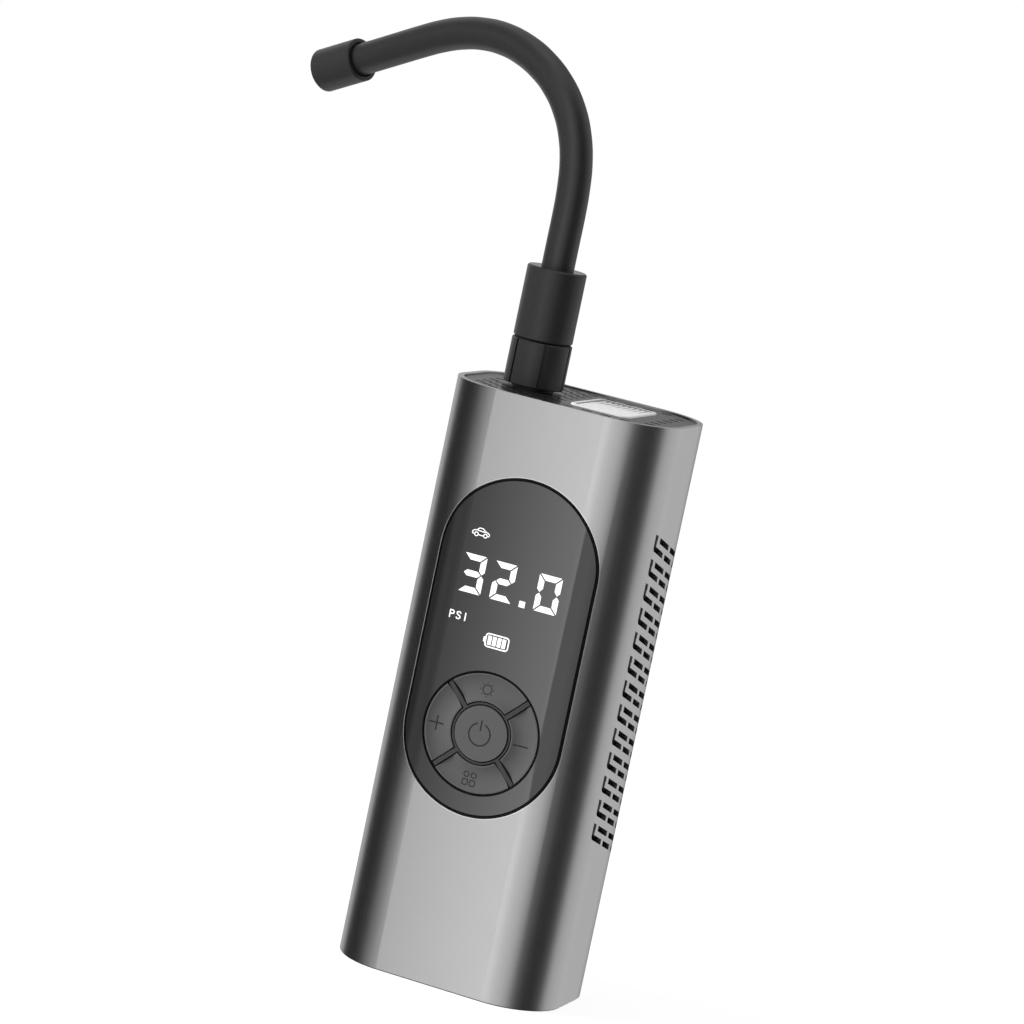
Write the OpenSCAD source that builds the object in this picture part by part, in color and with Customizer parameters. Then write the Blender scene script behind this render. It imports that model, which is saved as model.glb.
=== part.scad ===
// Portable tyre inflator: an aluminium sleeve around a battery, a small piston
// pump, a control panel with five keys, a work lamp and a screw-on air hose.
// The body stands on its bottom cover. Z is its long axis, and its panel faces -Y.

/* [Body] */
// Width of the sleeve, left to right
body_w = 64; // [62:0.5:72]
// Depth of the sleeve, front to back
body_d = 46; // [45:0.5:54]
// Height of the body, from the bottom cover's foot to the top rim
body_h = 160; // [156:1:190]
// Radius of the sleeve's four upright corners
corner_r = 16.5; // [15:0.5:18]
// Wall of the aluminium sleeve
wall = 1.6; // [1.4:0.1:1.8]
// Gap between the sleeve and what slides into it
slide_gap = 0.1; // [0.05:0.05:0.15]

/* [Covers] */
// Thickness of the top cover
top_cover_t = 2.6; // [2:0.2:3.2]
// Depth of the top cover below the sleeve's rim
cover_recess = 0.4; // [0.2:0.1:0.8]
// Length of one slot in the top cover
slot_len = 2.7; // [2:0.1:3.2]
// Width of one slot in the top cover
slot_w = 1.2; // [0.8:0.1:1.4]
// Pitch of the slots along a row
slot_pitch = 5.4; // [5:0.2:7]
// Distance between two rows of slots
slot_row = 2.4; // [2.2:0.1:3.2]
// Solid border around the field of slots
slot_margin = 2.6; // [2:0.2:4]
// Solid border around the lamp's opening
lens_border = 2.2; // [1.6:0.2:3]
// Thickness of the bottom cover
bottom_cover_t = 3; // [2.6:0.2:3.6]
// Height that the bottom cover stands below the sleeve
foot_lip = 0.3; // [0.2:0.1:0.6]

/* [Side vents] */
// Number of vents on each side
vent_n = 13; // [9:1:13]
// Pitch of the vents
vent_pitch = 6.6; // [6.2:0.1:6.8]
// Height of one vent, over both of its rows of openings
vent_h = 4.55; // [4:0.05:5]
// Length of one vent, front to back
vent_len = 19; // [18:0.5:20]
// Slope of the vents, down towards the back, in degrees
vent_tilt = 18; // [10:1:22]
// Height of the bar between a vent's two rows of openings
vent_mid = 1.45; // [1:0.05:1.6]
// Width of the webs between the openings of a row
vent_web = 1.7; // [1.2:0.1:2]
// Width of the slit that joins both rows at the front
vent_slit = 1.4; // [1:0.1:1.6]
// Radius of the slit's lower corner
vent_r = 1; // [0.4:0.1:1.2]
// Height of the middle of the vents
vent_z = 86.5; // [84:0.5:90]
// Thickness of the grille plate behind the sleeve
grille_t = 1.2; // [1:0.1:1.3]
// Border of the grille plate around the vents
grille_edge = 1.5; // [1:0.5:3]
// Ledge that the grille leaves inside each opening
grille_ledge = 0.25; // [0.15:0.05:0.35]

/* [Panel] */
// Radius of the round ends of the panel window
panel_r = 22.35; // [21.5:0.05:23]
// Distance from the panel's middle to the centre of a round end
panel_half = 23.2; // [22:0.2:24]
// Height of the middle of the panel
panel_z = 93.2; // [92:0.2:95]
// Gap between the window and the sleeve's cut-out
panel_gap = 0.35; // [0.25:0.05:0.5]
// Thickness of the carrier plate behind the window
carrier_t = 1.9; // [1.7:0.1:2.2]
// Width that the carrier reaches past the window
carrier_lip = 2.4; // [2:0.1:2.6]

/* [Keys] */
// Radius of the round opening for the keys
key_hole_r = 16.45; // [16:0.05:17]
// Gap between a key and what surrounds it
key_gap = 0.35; // [0.3:0.05:0.45]
// Outer radius of the ring around the power key
key_ring_r = 8.3; // [7.9:0.1:8.6]
// Wall of the ring around the power key
key_ring_wall = 0.5; // [0.4:0.1:0.7]
// Width of the four bars between the keys
key_bar_w = 1.2; // [1:0.1:1.6]
// Depth of the keys' rims below the panel's front
key_depth = 0.1; // [0.1:0.1:0.4]
// Depth of the bars and the ring below the panel's front
bezel_depth = 0.3; // [0.2:0.1:0.6]
// Depth of the hollow in the face of each outer key
dish_depth = 0.9; // [0.6:0.1:1.1]
// Flat rim left around that hollow
dish_rim = 0.35; // [0.2:0.05:0.6]
// Thickness of the flange that holds each key in
flange_t = 0.75; // [0.7:0.05:0.9]
// Width of that flange
flange_w = 0.6; // [0.4:0.1:0.8]
// Distance that a key can be pushed in
key_travel = 0.5; // [0.3:0.1:0.5]
// Gap left between a key and its switch when it is pushed
key_play = 0.15; // [0.1:0.05:0.3]

/* [Boards] */
// Thickness of both circuit boards
board_t = 1.6; // [1.2:0.2:1.8]
// Width of the control board
control_w = 38; // [36:1:42]
// Width and height of a tact switch
switch_w = 6; // [5:0.5:6]
// Height of a tact switch on the board
switch_h = 2.4; // [2:0.1:2.8]
// Length of a tact switch's plunger
plunger_h = 0.5; // [0.3:0.1:0.7]
// Radius of a tact switch's plunger
plunger_r = 1.7; // [1.2:0.1:2]
// Width of the display block
display_w = 34; // [32:1:36]
// Height of the display block
display_h = 34; // [30:1:36]
// Height of the display's middle above the middle of the panel
display_up = 15; // [14:0.5:17]
// Radius of the posts that carry the control board
post_r = 2.2; // [2:0.1:2.4]
// Radius of a small screw's shank
screw_r = 0.9; // [0.8:0.1:1]
// Radius of a small screw's head
head_r = 1.8; // [1.6:0.1:2]
// Height of a small screw's head
head_h = 1.1; // [0.9:0.1:1.3]
// Width of the main board
main_w = 40; // [36:1:42]
// Height of the main board
main_h = 39; // [36:1:40]
// Width of the charge port
port_w = 9; // [8.9:0.1:9.2]
// Thickness of the charge port
port_t = 3.2; // [3.1:0.1:3.4]
// Length of the charge port
port_len = 7.3; // [6.8:0.1:8]

/* [Battery] */
// Diameter of a cell
cell_d = 18.4; // [18:0.1:18.6]
// Length of a cell
cell_len = 65.2; // [64:0.2:65.4]
// Gap between the two cells
cell_gap = 0.8; // [0.4:0.1:1]
// Thickness of the nickel strips
tab_t = 0.2; // [0.15:0.05:0.3]
// Wall of the cradle around the cells
cradle_t = 1.5; // [1.2:0.1:1.7]
// Radius of an insulated wire
wire_r = 0.9; // [0.7:0.1:1]

/* [Chassis] */
// Gap between the sleeve's inside and the chassis
chassis_gap = 1.6; // [1.55:0.05:1.8]
// Wall of the chassis
chassis_t = 1.6; // [1.4:0.1:1.8]
// Space left between the chassis and the top cover
chassis_drop = 6; // [6:0.2:7]
// Gap between the bottom cover and the chassis
chassis_lift = 0.2; // [0.1:0.1:0.3]

/* [Motor] */
// Radius of the motor can
can_r = 12.2; // [11.8:0.1:12.4]
// Wall of the motor can
can_wall = 1; // [0.8:0.1:1.2]
// Height of the end cap under the can
end_cap_h = 2; // [1.6:0.1:2.4]
// Gap between the battery cradle and the motor
motor_gap = 0.8; // [0.5:0.1:0.9]
// Radius of the motor shaft
shaft_r = 1.15; // [1:0.05:1.25]
// Radius of the boss around the shaft
boss_r = 4.9; // [4:0.1:5]

/* [Gears] */
// Gear module
gear_m = 0.8; // [0.78:0.01:0.8]
// Teeth of the pinion
pinion_teeth = 10; // [10:1:11]
// Face width of both gears
gear_w = 4.5; // [4:0.1:4.6]
// Radius of the crank, half the piston's stroke
crank_r = 4; // [3.8:0.1:4.1]
// Radius of the crank pin
pin_r = 1.2; // [1:0.05:1.25]
// Radius of the gear's fixed axle
axle_r = 1.2; // [1.1:0.05:1.25]
// Running gap on the axle and on the crank pin
axle_gap = 0.1; // [0.06:0.02:0.14]
// Wall of the gear's bush
bush_wall = 1; // [0.9:0.05:1.05]
// Gap between the crank gear and the chassis's left side
gear_side_gap = 0.8; // [0.6:0.1:1]
// Least gap between the pinion and the cylinder
pinion_gap = 1.5; // [1.4:0.1:1.7]

/* [Pump] */
// Thickness of the pump frame's plate
frame_t = 2.5; // [2:0.1:2.8]
// Radius of the cylinder's bore
bore_r = 7.5; // [7:0.1:7.6]
// Wall of the cylinder
cylinder_t = 1.1; // [1:0.1:1.2]
// Length of the cylinder
cylinder_len = 12.7; // [12.4:0.1:13]
// Thickness of the connecting rod
rod_t = 3.6; // [3:0.1:3.8]
// Height of the piston
piston_h = 3.8; // [3.4:0.1:3.8]
// Gap between the piston's seal and the bore
seal_gap = 0.25; // [0.2:0.05:0.35]
// Side of the square cylinder head
head_side = 20; // [19.8:0.1:20.4]
// Thickness of the cylinder head
head_t = 3.7; // [3.4:0.1:3.8]
// Gap between the cylinder head and the right grille
head_room = 3.1; // [3:0.1:3.4]
// Thickness of the head gasket
gasket_t = 0.5; // [0.4:0.1:0.6]
// Thickness of the rubber dampers under the frame
damper_t = 1.5; // [1:0.1:2]
// Radius of the rubber dampers
damper_r = 2.5; // [2.2:0.1:2.6]
// Outer radius of the air tube
tube_r = 3.1; // [2.8:0.1:3.2]
// Bore radius of the air tube
tube_bore_r = 1.8; // [1.6:0.1:1.9]
// Bend radius of the air tube
tube_bend_r = 7; // [6:0.5:8]
// Straight part of the air tube between the pump and the bend
tube_rise = 10.3; // [9.5:0.1:11]

/* [Outlet and hose] */
// Distance of the outlet from the body's left side
outlet_side = 18; // [17.6:0.2:19]
// Radius of the outlet's threaded stem
stem_r = 5.5; // [5:0.1:5.6]
// Height of the stem above the top rim
stem_up = 5.5; // [5:0.1:6]
// Radius of the air passage
air_r = 1.6; // [1.2:0.1:1.8]
// Pitch of the outlet's thread
thread_pitch = 1; // [0.8:0.1:1.5]
// Gap between parts that turn on each other
turn_gap = 0.3; // [0.25:0.05:0.4]
// Outer radius of the hose nut
nut_r = 8.2; // [8:0.1:8.4]
// Height of the hose nut
nut_h = 12.2; // [11.8:0.1:12.6]
// Gap between the rim and the hose nut
nut_lift = 0.5; // [0.3:0.1:0.5]
// Number of grip grooves in the nut
groove_n = 6; // [4:1:12]
// Turn of the grip grooves
groove_turn = -2; // [-30:1:30]
// Width of a grip groove
groove_w = 0.7; // [0.5:0.1:1]
// Depth of a grip groove
groove_depth = 0.6; // [0.4:0.1:0.8]
// Outer radius of the hose collar
collar_r = 8.05; // [7.8:0.05:8.3]
// Height of the hose collar
collar_h = 19.4; // [17:0.1:22]
// Outer radius of the hose
hose_r = 4.45; // [4.2:0.05:4.5]
// Turn of the hose's arch, to the back from the body's left
hose_turn = 20; // [0:1:40]
// Outer radius of the valve chuck
chuck_r = 6.05; // [5.9:0.05:6.4]
// Length of the valve chuck
chuck_len = 14.4; // [14:0.1:16]
// Radius of the chuck's mouth, for a tyre valve's thread
mouth_r = 3.95; // [3.85:0.05:4.05]

/* [Lamp] */
// Width of the lamp lens
lens_w = 17; // [15:0.5:17.5]
// Depth of the lamp lens, front to back
lens_d = 25; // [22:0.5:26]
// Radius of the lens's corners
lens_r = 2.4; // [1.5:0.1:3]
// Distance of the lens to the right of the body's middle
lens_x = 9.7; // [9.6:0.1:11]
// Gap between the lens and the top cover
lens_gap = 0.15; // [0.1:0.05:0.25]
// Height of the lens's flange under the cover
lens_flange = 1; // [0.8:0.1:1.2]
// Height of the lamp's reflector tray
tray_h = 3.6; // [3:0.2:4]
// Wall of the reflector tray
tray_wall = 1; // [0.8:0.1:1.2]
// Thickness of the lamp board
lamp_board_t = 1; // [0.8:0.1:1.2]

/* [Hidden] */
$fn = 96;

// A little more than the thickness of what a cut goes through
cut = 1;
front_y = -body_d / 2;

// Insets from the sleeve's surface, layer by layer
layer_in = wall + slide_gap;
carrier_in = layer_in + carrier_t;
chassis_in = wall + chassis_gap;
chassis_core = chassis_in + chassis_t;

// Heights of the covers
top_cover_z = body_h - cover_recess;
top_under_z = top_cover_z - top_cover_t;
chassis_z = bottom_cover_t + chassis_lift;
base_z = chassis_z + chassis_t;
chassis_top = top_under_z - chassis_drop;

// Middles of the webs in a vent's upper and lower row
upper_webs = vent_len * [-0.371, 0.161];
lower_webs = vent_len * [-0.032, 0.382];

// Screws of the bottom cover
cover_screw_x = body_w / 2 - 7.5;
cover_screw_front = -6.5;
cover_screw_back = 8;
screw_places = [for (sx = [-1, 1], y = [cover_screw_front, cover_screw_back]) [sx * cover_screw_x, y]];
cover_screw_len = 6;
head_sink = 0.4;
boss_h = 2.5;
screw_boss_r = head_r + 1;

// Depths in the stack of keys, switches and control board
key_r = key_hole_r - key_gap;
key_in_r = key_ring_r + key_gap;
key_mid_r = (key_r + key_in_r) / 2;
power_r = key_ring_r - key_ring_wall - key_gap;
flange_in = carrier_in + 0.2;
key_back = flange_in + flange_t;
plunger_in = key_back + key_travel + key_play;
board_in = plunger_in + plunger_h + switch_h;
board_back = board_in + board_t;
key_z = panel_z - panel_half;
display_z = panel_z + display_up;
display_gap = 0.3;
switch_places = concat([[0, 0]], [for (a = [0 : 90 : 270]) key_mid_r * [cos(a), sin(a)]]);

// Control board and its posts
control_below = 22;
control_above = 8;
control_low = key_z - control_below;
control_high = display_z + display_h / 2 + control_above;
post_x = 13;
post_inset = 4;
post_low = control_low + post_inset - 0.2;
post_high = control_high - post_inset;
screw_bite = 3.5;

// Cells, their cradle and the strips on them
cell_x = (cell_d + cell_gap) / 2;
cell_y = body_d / 2 - chassis_core - cell_d / 2 - 0.4;
cell_z = base_z + cradle_t + tab_t;
cell_top = cell_z + cell_len;
cradle_top = cell_top + tab_t + cradle_t;
cradle_w = 2 * cell_d + 3 * cell_gap;
cradle_near = cell_y - cell_d / 2 + 1;
cradle_far = cell_y + cell_d / 2 - 1.8;
cradle_gap = 0.3;
strip_w = 7;
strip_y = cell_y - cell_d / 2 - 2.5;
tongue_h = 2.2;

// What is left of the depth beside the control board, the leads, the motor and the
// chassis, shared between the gaps in front of the leads, behind them and at the back
depth_spare = body_d - board_back - 2 * wire_r - 2 * can_r - chassis_core;
front_share = 0.453;
back_share = 0.377;
pump_y = body_d / 2 - chassis_core - can_r - back_share * depth_spare;

// Main board, which stands in the chassis's two guides
header_t = 4;
header_y = front_y + board_back + front_share * depth_spare + wire_r;
main_y = header_y - header_t / 2 - board_t;
main_z = base_z + 0.2;
guide_h = 7;
port_y = main_y - port_t / 2;
port_z = 0.8;
plug_gap = 0.4;
header_w = 8;
header_h = 5;
main_top = main_z + main_h;
lead_gap = 0.3;
lead_x = post_x - head_r - wire_r - lead_gap;
lead_drop = 12;
lead_z = main_top - lead_drop;
lug_reach = 1.5;
chip_w = 8;
chip_h = 8;
chip_t = 2.5;
chip_up = 12;
coil_w = 9;
coil_t = 2.2;
coil_x = 3;
coil_up = 18;
fuse_w = 7;
fuse_t = 1.2;
fuse_x = -14;
fuse_up = 20;

// Outlet: manifold on the chassis's shelf, stem through the top cover
shelf_drop = 13.5;
shelf_z = chassis_top - shelf_drop;
shelf_t = 2;
manifold_z = shelf_z + shelf_t;
manifold_h = 11;
manifold_half = 6;
outlet_x = body_w / 2 - outlet_side;
manifold_right = -outlet_x + manifold_half;
manifold_left = -outlet_x - manifold_half;
barb_z = manifold_z + manifold_half;

// Heights of the pump, from the air tube down to the frame
tube_z = barb_z - tube_bend_r - tube_rise;
nipple_gap = 0.2;
bore_z = tube_z - nipple_gap - head_side / 2;
rod_z = bore_z - rod_t / 2;
pivot_gap = 0.3;
pin_up = 1.5;
pin_in = 3;
gear_top = rod_z - pin_up - pivot_gap;
gear_z = gear_top - gear_w;
gear_gap = 0.7;
frame_top = gear_z - gear_gap;
frame_z = frame_top - frame_t;

// Motor, between the battery's cradle and the pump's frame
motor_z = cradle_top + motor_gap;
can_z = motor_z + end_cap_h;
can_len = frame_z - can_z;
core_z = can_z + 0.2 * can_len;
core_top = can_z + 0.72 * can_len;
magnet_z = can_z + 0.13 * can_len;
magnet_top = can_z + 0.79 * can_len;
magnet_t = 2;
magnet_slot = 6;
armature_r = can_r - can_wall - magnet_t - 0.5;
collector_r = 3;

// Places along the pump's axis, from the head to the piston
top_gap = 0.5;
stroke = 2 * crank_r;
head_end = body_w / 2 - layer_in - grille_t - head_room;
head_x = head_end - head_t;
cylinder_end = head_x - gasket_t;
cylinder_x = cylinder_end - cylinder_len;
cylinder_r = bore_r + cylinder_t;
block_len = 8.3;
piston_end = cylinder_end - top_gap - stroke;
piston_x = piston_end - piston_h;

// Gear train: the crank gear turns beside the motor, on the left, and has as many
// teeth as fit between the chassis's side and the pinion next to the cylinder
addendum = 0.62 * gear_m;
dedendum = 1.1 * gear_m;
backlash = 0.26;
pinion_tip_r = gear_m * pinion_teeth / 2 + addendum;
train_left = chassis_core + gear_side_gap - body_w / 2;
train_len = cylinder_x - pinion_gap - pinion_tip_r - train_left;
gear_teeth = floor((train_len - addendum) / gear_m - pinion_teeth / 2);
gear_tip_r = gear_m * gear_teeth / 2 + addendum;
gear_x = train_left + gear_tip_r;
mesh_dist = gear_m * (pinion_teeth + gear_teeth) / 2;
motor_x = gear_x + mesh_dist;
bush_r = axle_r + axle_gap + bush_wall;
shoulder_gap = 0.2;
weight_h = 0.8;

// Connecting rod
pin_x = gear_x - crank_r;
eye_r = 5;
rod_w = 5;
bearing_r = pin_r + axle_gap + 1.7;
seal_r = bore_r - seal_gap;
piston_r = seal_r - 0.25;
seal_core_r = seal_r - 1.7;
land_t = 1.1;
head_r_out = 2.5;
head_screw = head_side / 2 - 2.4;
head_seat = head_end - head_h - 0.2;
head_screw_len = 9;
port_r = 1.5;
flap_r = 3;
flap_t = 0.4;
valve_wall = 0.8;
chamber_r = 4.2;
chamber_h = 1.9;
nipple_x = head_x + valve_wall + chamber_h / 2;
nipple_r = tube_bore_r - 0.05;
nipple_air_r = 0.8;
nipple_h = 4;

// Shelf under the pump frame, and the four studs through the dampers
damper_z = frame_z - damper_t;
shelf_in = 13.2;
shelf_front = front_y + shelf_in;
motor_shelf_t = 2.5;
stud_r = 1.1;
stud_top = frame_top + 0.4;
stud_in = 2.4;
stud_left_in = 14;
stud_right_in = 17;
stud_left_back = 8.1;
stud_right_back = 7.6;
stud_front_in = 2;
stud_left = stud_left_in - body_w / 2;
stud_right = body_w / 2 - stud_right_in;
stud_places = [
  [stud_left, body_d / 2 - stud_left_back],
  [stud_right, body_d / 2 - stud_right_back],
  [stud_left - stud_front_in, shelf_front + stud_in],
  [stud_right + 1.5 * stud_front_in, shelf_front + stud_in]
];

// Stem, barb and sensor of the outlet
barb_len = 5;
chamber_half = 2;
stem_top = body_h + stem_up;
stem_z = manifold_z + manifold_h;
thread_depth = 0.4;
sensor_t = 4.5;
sensor_w = 8;
sensor_h = 7;
sensor_pin_r = 0.9;

// Hose nut and collar
nut_z = body_h + nut_lift;
nut_top = nut_z + nut_h;
gasket_h = 0.6;
flange_z = stem_top + gasket_h + turn_gap;
swivel_h = 1.8;
swivel_r = stem_r - 0.1;
neck_r = 3.6;
collar_z = nut_top + turn_gap;
collar_top = collar_z + collar_h;

// Route of the hose in the plane of its arch: distance from the outlet, and height
// above the collar. It starts on the collar's top and ends inside the chuck.
HOSE_ROUTE = [
  [0, 0], [0, 7.6], [0, 14.6], [0.3, 21.6], [1.3, 28.6], [3.6, 35.4],
  [7.5, 41.8], [12.9, 47.2], [19.4, 51.3], [27.2, 54.3], [35, 55.7],
  [42.4, 55.7], [50, 54.5], [57.4, 52.3], [64.4, 49.5], [71.4, 46.5],
  [77.9, 43.7], [85.9, 40.3]
];
hose_last = len(HOSE_ROUTE) - 1;
hose_end = HOSE_ROUTE[hose_last];
hose_step = hose_end - HOSE_ROUTE[hose_last - 1];
hose_drop = atan2(-hose_step[1], hose_step[0]);
hose_sides = 12;
arch_side = [-cos(hose_turn), sin(hose_turn)];
arch_across = [sin(hose_turn), cos(hose_turn)];

// Chuck, measured along its own axis from its hose side
recess_r = hose_r + 0.5;
recess_h = 1.6;
hose_in = recess_h - turn_gap;
tail_r = 2.8;
web_h = 1.8;
plate_r = 4.3;
plate_h = 1.5;
plate_z = recess_h + web_h + turn_gap;
seal_z = plate_z + plate_h;
seal_h = 2;
seal_hole_r = 1.3;
needle_r = 0.7;
needle_len = 2.2;
insert_air_r = 1.1;

// Lamp
tray_z = top_under_z - lens_flange - tray_h;
lens_rim = 1.2;
led_w = 2.8;
led_h = 0.7;
lamp_w = lens_w + 2 * lens_rim;
lamp_d = lens_d + 2 * lens_rim;

// ---------------------------------------------------------------- shared shapes

// Rectangle with round corners, centred
module round_rect(w, d, r) {
  square([w - 2 * r, d], center = true);
  square([w, d - 2 * r], center = true);
  for (sx = [-1, 1], sy = [-1, 1])
    translate([sx * (w / 2 - r), sy * (d / 2 - r)]) circle(r);
}

// The body's cross-section, inset evenly from the sleeve's surface
module section(inset = 0) {
  round_rect(body_w - 2 * inset, body_d - 2 * inset, corner_r - inset);
}

// A layer that follows the sleeve, between two insets
module layer(outer, inner, low, high) {
  translate([0, 0, low])
    linear_extrude(high - low)
      difference() {
        section(outer);
        section(inner);
      }
}

// Extrudes an outline seen from the front, between two depths below the front
module from_front(near, far) {
  translate([0, front_y + far, 0])
    rotate([90, 0, 0])
      linear_extrude(far - near) children();
}

// Extrudes an outline drawn in Y and Z along +X, between two places
module along_x(low, high) {
  translate([low, 0, 0])
    rotate([90, 0, 90])
      linear_extrude(high - low) children();
}

// Round bar along +X
module bar_x(low, high, r) {
  translate([low, 0, 0])
    rotate([0, 90, 0])
      cylinder(r = r, h = high - low);
}

// Upright round bar
module bar_z(low, high, r) {
  translate([0, 0, low]) cylinder(r = r, h = high - low);
}

// Box from its lowest to its highest corner
module span(low, high) {
  translate(low) cube(high - low);
}

// Outline of the panel, grown by a margin
module stadium(margin = 0) {
  square([2 * (panel_r + margin), 2 * panel_half], center = true);
  for (s = [-1, 1])
    translate([0, s * panel_half]) circle(panel_r + margin);
}

// ---------------------------------------------------------------- housing

// Point of a vent, which slopes down towards the back, in Y and Z
function on_slope(y, up) = [y, up - y * tan(vent_tilt)];

// One opening with upright ends, and with a round lower front corner if asked
module vent_opening(near, far, low, high, round_r = 0) {
  corner = round_r > 0
    ? [for (a = [180 : 15 : 270])
        on_slope(near + round_r * (1 + cos(a)), low + round_r * (1 + sin(a)))]
    : [on_slope(near, low)];
  polygon(concat(corner, [on_slope(far, low), on_slope(far, high), on_slope(near, high)]));
}

// Openings of one row between its webs, each smaller by a margin
module vent_row(webs, low, high, margin, round_r) {
  outer = (vent_len + vent_web) / 2;
  mids = concat([-outer], webs, [outer]);
  inset = vent_web / 2 + margin;
  for (k = [0 : len(mids) - 2])
    vent_opening(mids[k] + inset, mids[k + 1] - inset, low + margin, high - margin,
                 k == 0 ? round_r : 0);
}

// All vents of one side: two staggered rows each, joined by the slit at the front
module vents(margin = 0) {
  front = -vent_len / 2;
  join = vent_mid / 2 + margin + 0.2;
  for (i = [0 : vent_n - 1])
    translate([0, vent_z + (i - (vent_n - 1) / 2) * vent_pitch]) {
      vent_row(upper_webs, vent_mid / 2, vent_h / 2, margin, 0);
      vent_row(lower_webs, -vent_h / 2, -vent_mid / 2, margin, vent_r - margin);
      vent_opening(front + margin, front + vent_slit - margin, -join, join);
    }
}

// Extruded aluminium tube with the panel's cut-out and two rows of vents
module housing_sleeve() {
  color("dimgray")
    difference() {
      layer(0, wall, foot_lip, body_h);
      translate([0, 0, panel_z])
        from_front(-cut, corner_r)
          stadium(panel_gap);
      along_x(-body_w / 2 - cut, body_w / 2 + cut) vents();
    }
}

// Staggered field of slots, clear of the rim, the outlet and the lamp
module slot_field() {
  rows = floor((body_d / 2 - slot_margin - layer_in) / slot_row);
  steps = ceil(body_w / slot_pitch / 2);
  reach_w = body_w / 2 - layer_in - slot_margin;
  reach_d = body_d / 2 - layer_in - slot_margin;
  reach_r = corner_r - layer_in - slot_margin;
  for (j = [-rows : rows], i = [-steps : steps]) {
    x = (i + (j % 2 == 0 ? 0 : 0.5)) * slot_pitch;
    y = j * slot_row;
    far_x = abs(x) + slot_len / 2 - (reach_w - reach_r);
    far_y = abs(y) + slot_w / 2 - (reach_d - reach_r);
    in_corner = far_x > 0 && far_y > 0;
    inside = in_corner ? norm([far_x, far_y]) < reach_r : max(far_x, far_y) < reach_r;
    off_outlet = norm([x + outlet_x, y]) > stem_r + slot_len;
    off_lens_x = abs(x - lens_x) > lens_w / 2 + lens_border + slot_len / 2;
    off_lens_y = abs(y) > lens_d / 2 + lens_border + slot_w / 2;
    if (inside && off_outlet && (off_lens_x || off_lens_y))
      translate([x, y]) square([slot_len, slot_w], center = true);
  }
}

// Slotted cover with openings for the outlet stem and the lamp lens
module top_cover() {
  color("#4a4a4c")
    translate([0, 0, top_under_z])
      linear_extrude(top_cover_t)
        difference() {
          section(layer_in);
          slot_field();
          translate([-outlet_x, 0]) circle(stem_r + turn_gap);
          translate([lens_x, 0])
            round_rect(lens_w + 2 * lens_gap, lens_d + 2 * lens_gap, lens_r + lens_gap);
        }
}

// Cover that the body stands on: a lip under the sleeve and a plate inside it
module bottom_cover() {
  color("#2c2c2e")
    difference() {
      union() {
        linear_extrude(foot_lip) section(0.3);
        linear_extrude(bottom_cover_t) section(layer_in);
      }
      translate([0, port_y, -cut])
        linear_extrude(bottom_cover_t + 2 * cut)
          round_rect(port_w + 2 * plug_gap, port_t + 2 * plug_gap, port_t / 2);
      for (p = screw_places)
        translate([p[0], p[1], 0]) {
          bar_z(-cut, bottom_cover_t + cut, screw_r + 0.3);
          bar_z(-cut, head_h + head_sink, head_r + 0.3);
        }
    }
}

// Four screws from below into the chassis
module cover_screws() {
  color("silver")
    for (p = screw_places)
      translate([p[0], p[1], head_sink]) {
        cylinder(r = head_r, h = head_h);
        cylinder(r = screw_r, h = cover_screw_len);
      }
}

// Black plate behind one side's vents, open where they are
module side_grille(side) {
  half = ((vent_n - 1) * vent_pitch + vent_h + vent_len * tan(vent_tilt)) / 2 + grille_edge;
  reach = vent_len / 2 + grille_edge;
  near = side > 0 ? body_w / 2 - corner_r : -body_w / 2 - cut;
  far = side > 0 ? body_w / 2 + cut : -body_w / 2 + corner_r;
  color("#1a1a1c")
    difference() {
      intersection() {
        layer(layer_in, layer_in + grille_t, vent_z - half, vent_z + half);
        span([near, -reach, vent_z - half], [far, reach, vent_z + half]);
      }
      along_x(near, far) vents(grille_ledge);
    }
}

module side_grille_left() {
  side_grille(-1);
}

module side_grille_right() {
  side_grille(1);
}

// ---------------------------------------------------------------- panel and keys

// Smoked window, curved like the sleeve, with the round hole for the keys
module panel_window() {
  color("#1c1c1e")
    intersection() {
      layer(0, wall, panel_z - panel_half - panel_r - cut, panel_z + panel_half + panel_r + cut);
      translate([0, 0, panel_z])
        from_front(-cut, corner_r)
          difference() {
            stadium();
            translate([0, -panel_half]) circle(key_hole_r);
          }
    }
}

// The four bars between the keys, as crossed strips
module key_bars(width) {
  for (a = [45, 135])
    rotate(a) square([2 * key_hole_r + 2, width], center = true);
}

// Outline of one outer key, in the direction of an angle, grown by a margin
module key_outline(angle, margin = 0) {
  reach = 2 * key_hole_r;
  difference() {
    intersection() {
      circle(key_r + margin);
      polygon([
        [0, 0],
        reach * [cos(angle - 45), sin(angle - 45)],
        reach * [cos(angle + 45), sin(angle + 45)]
      ]);
    }
    circle(key_in_r - margin);
    key_bars(key_bar_w + 2 * key_gap - 2 * margin);
  }
}

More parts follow.
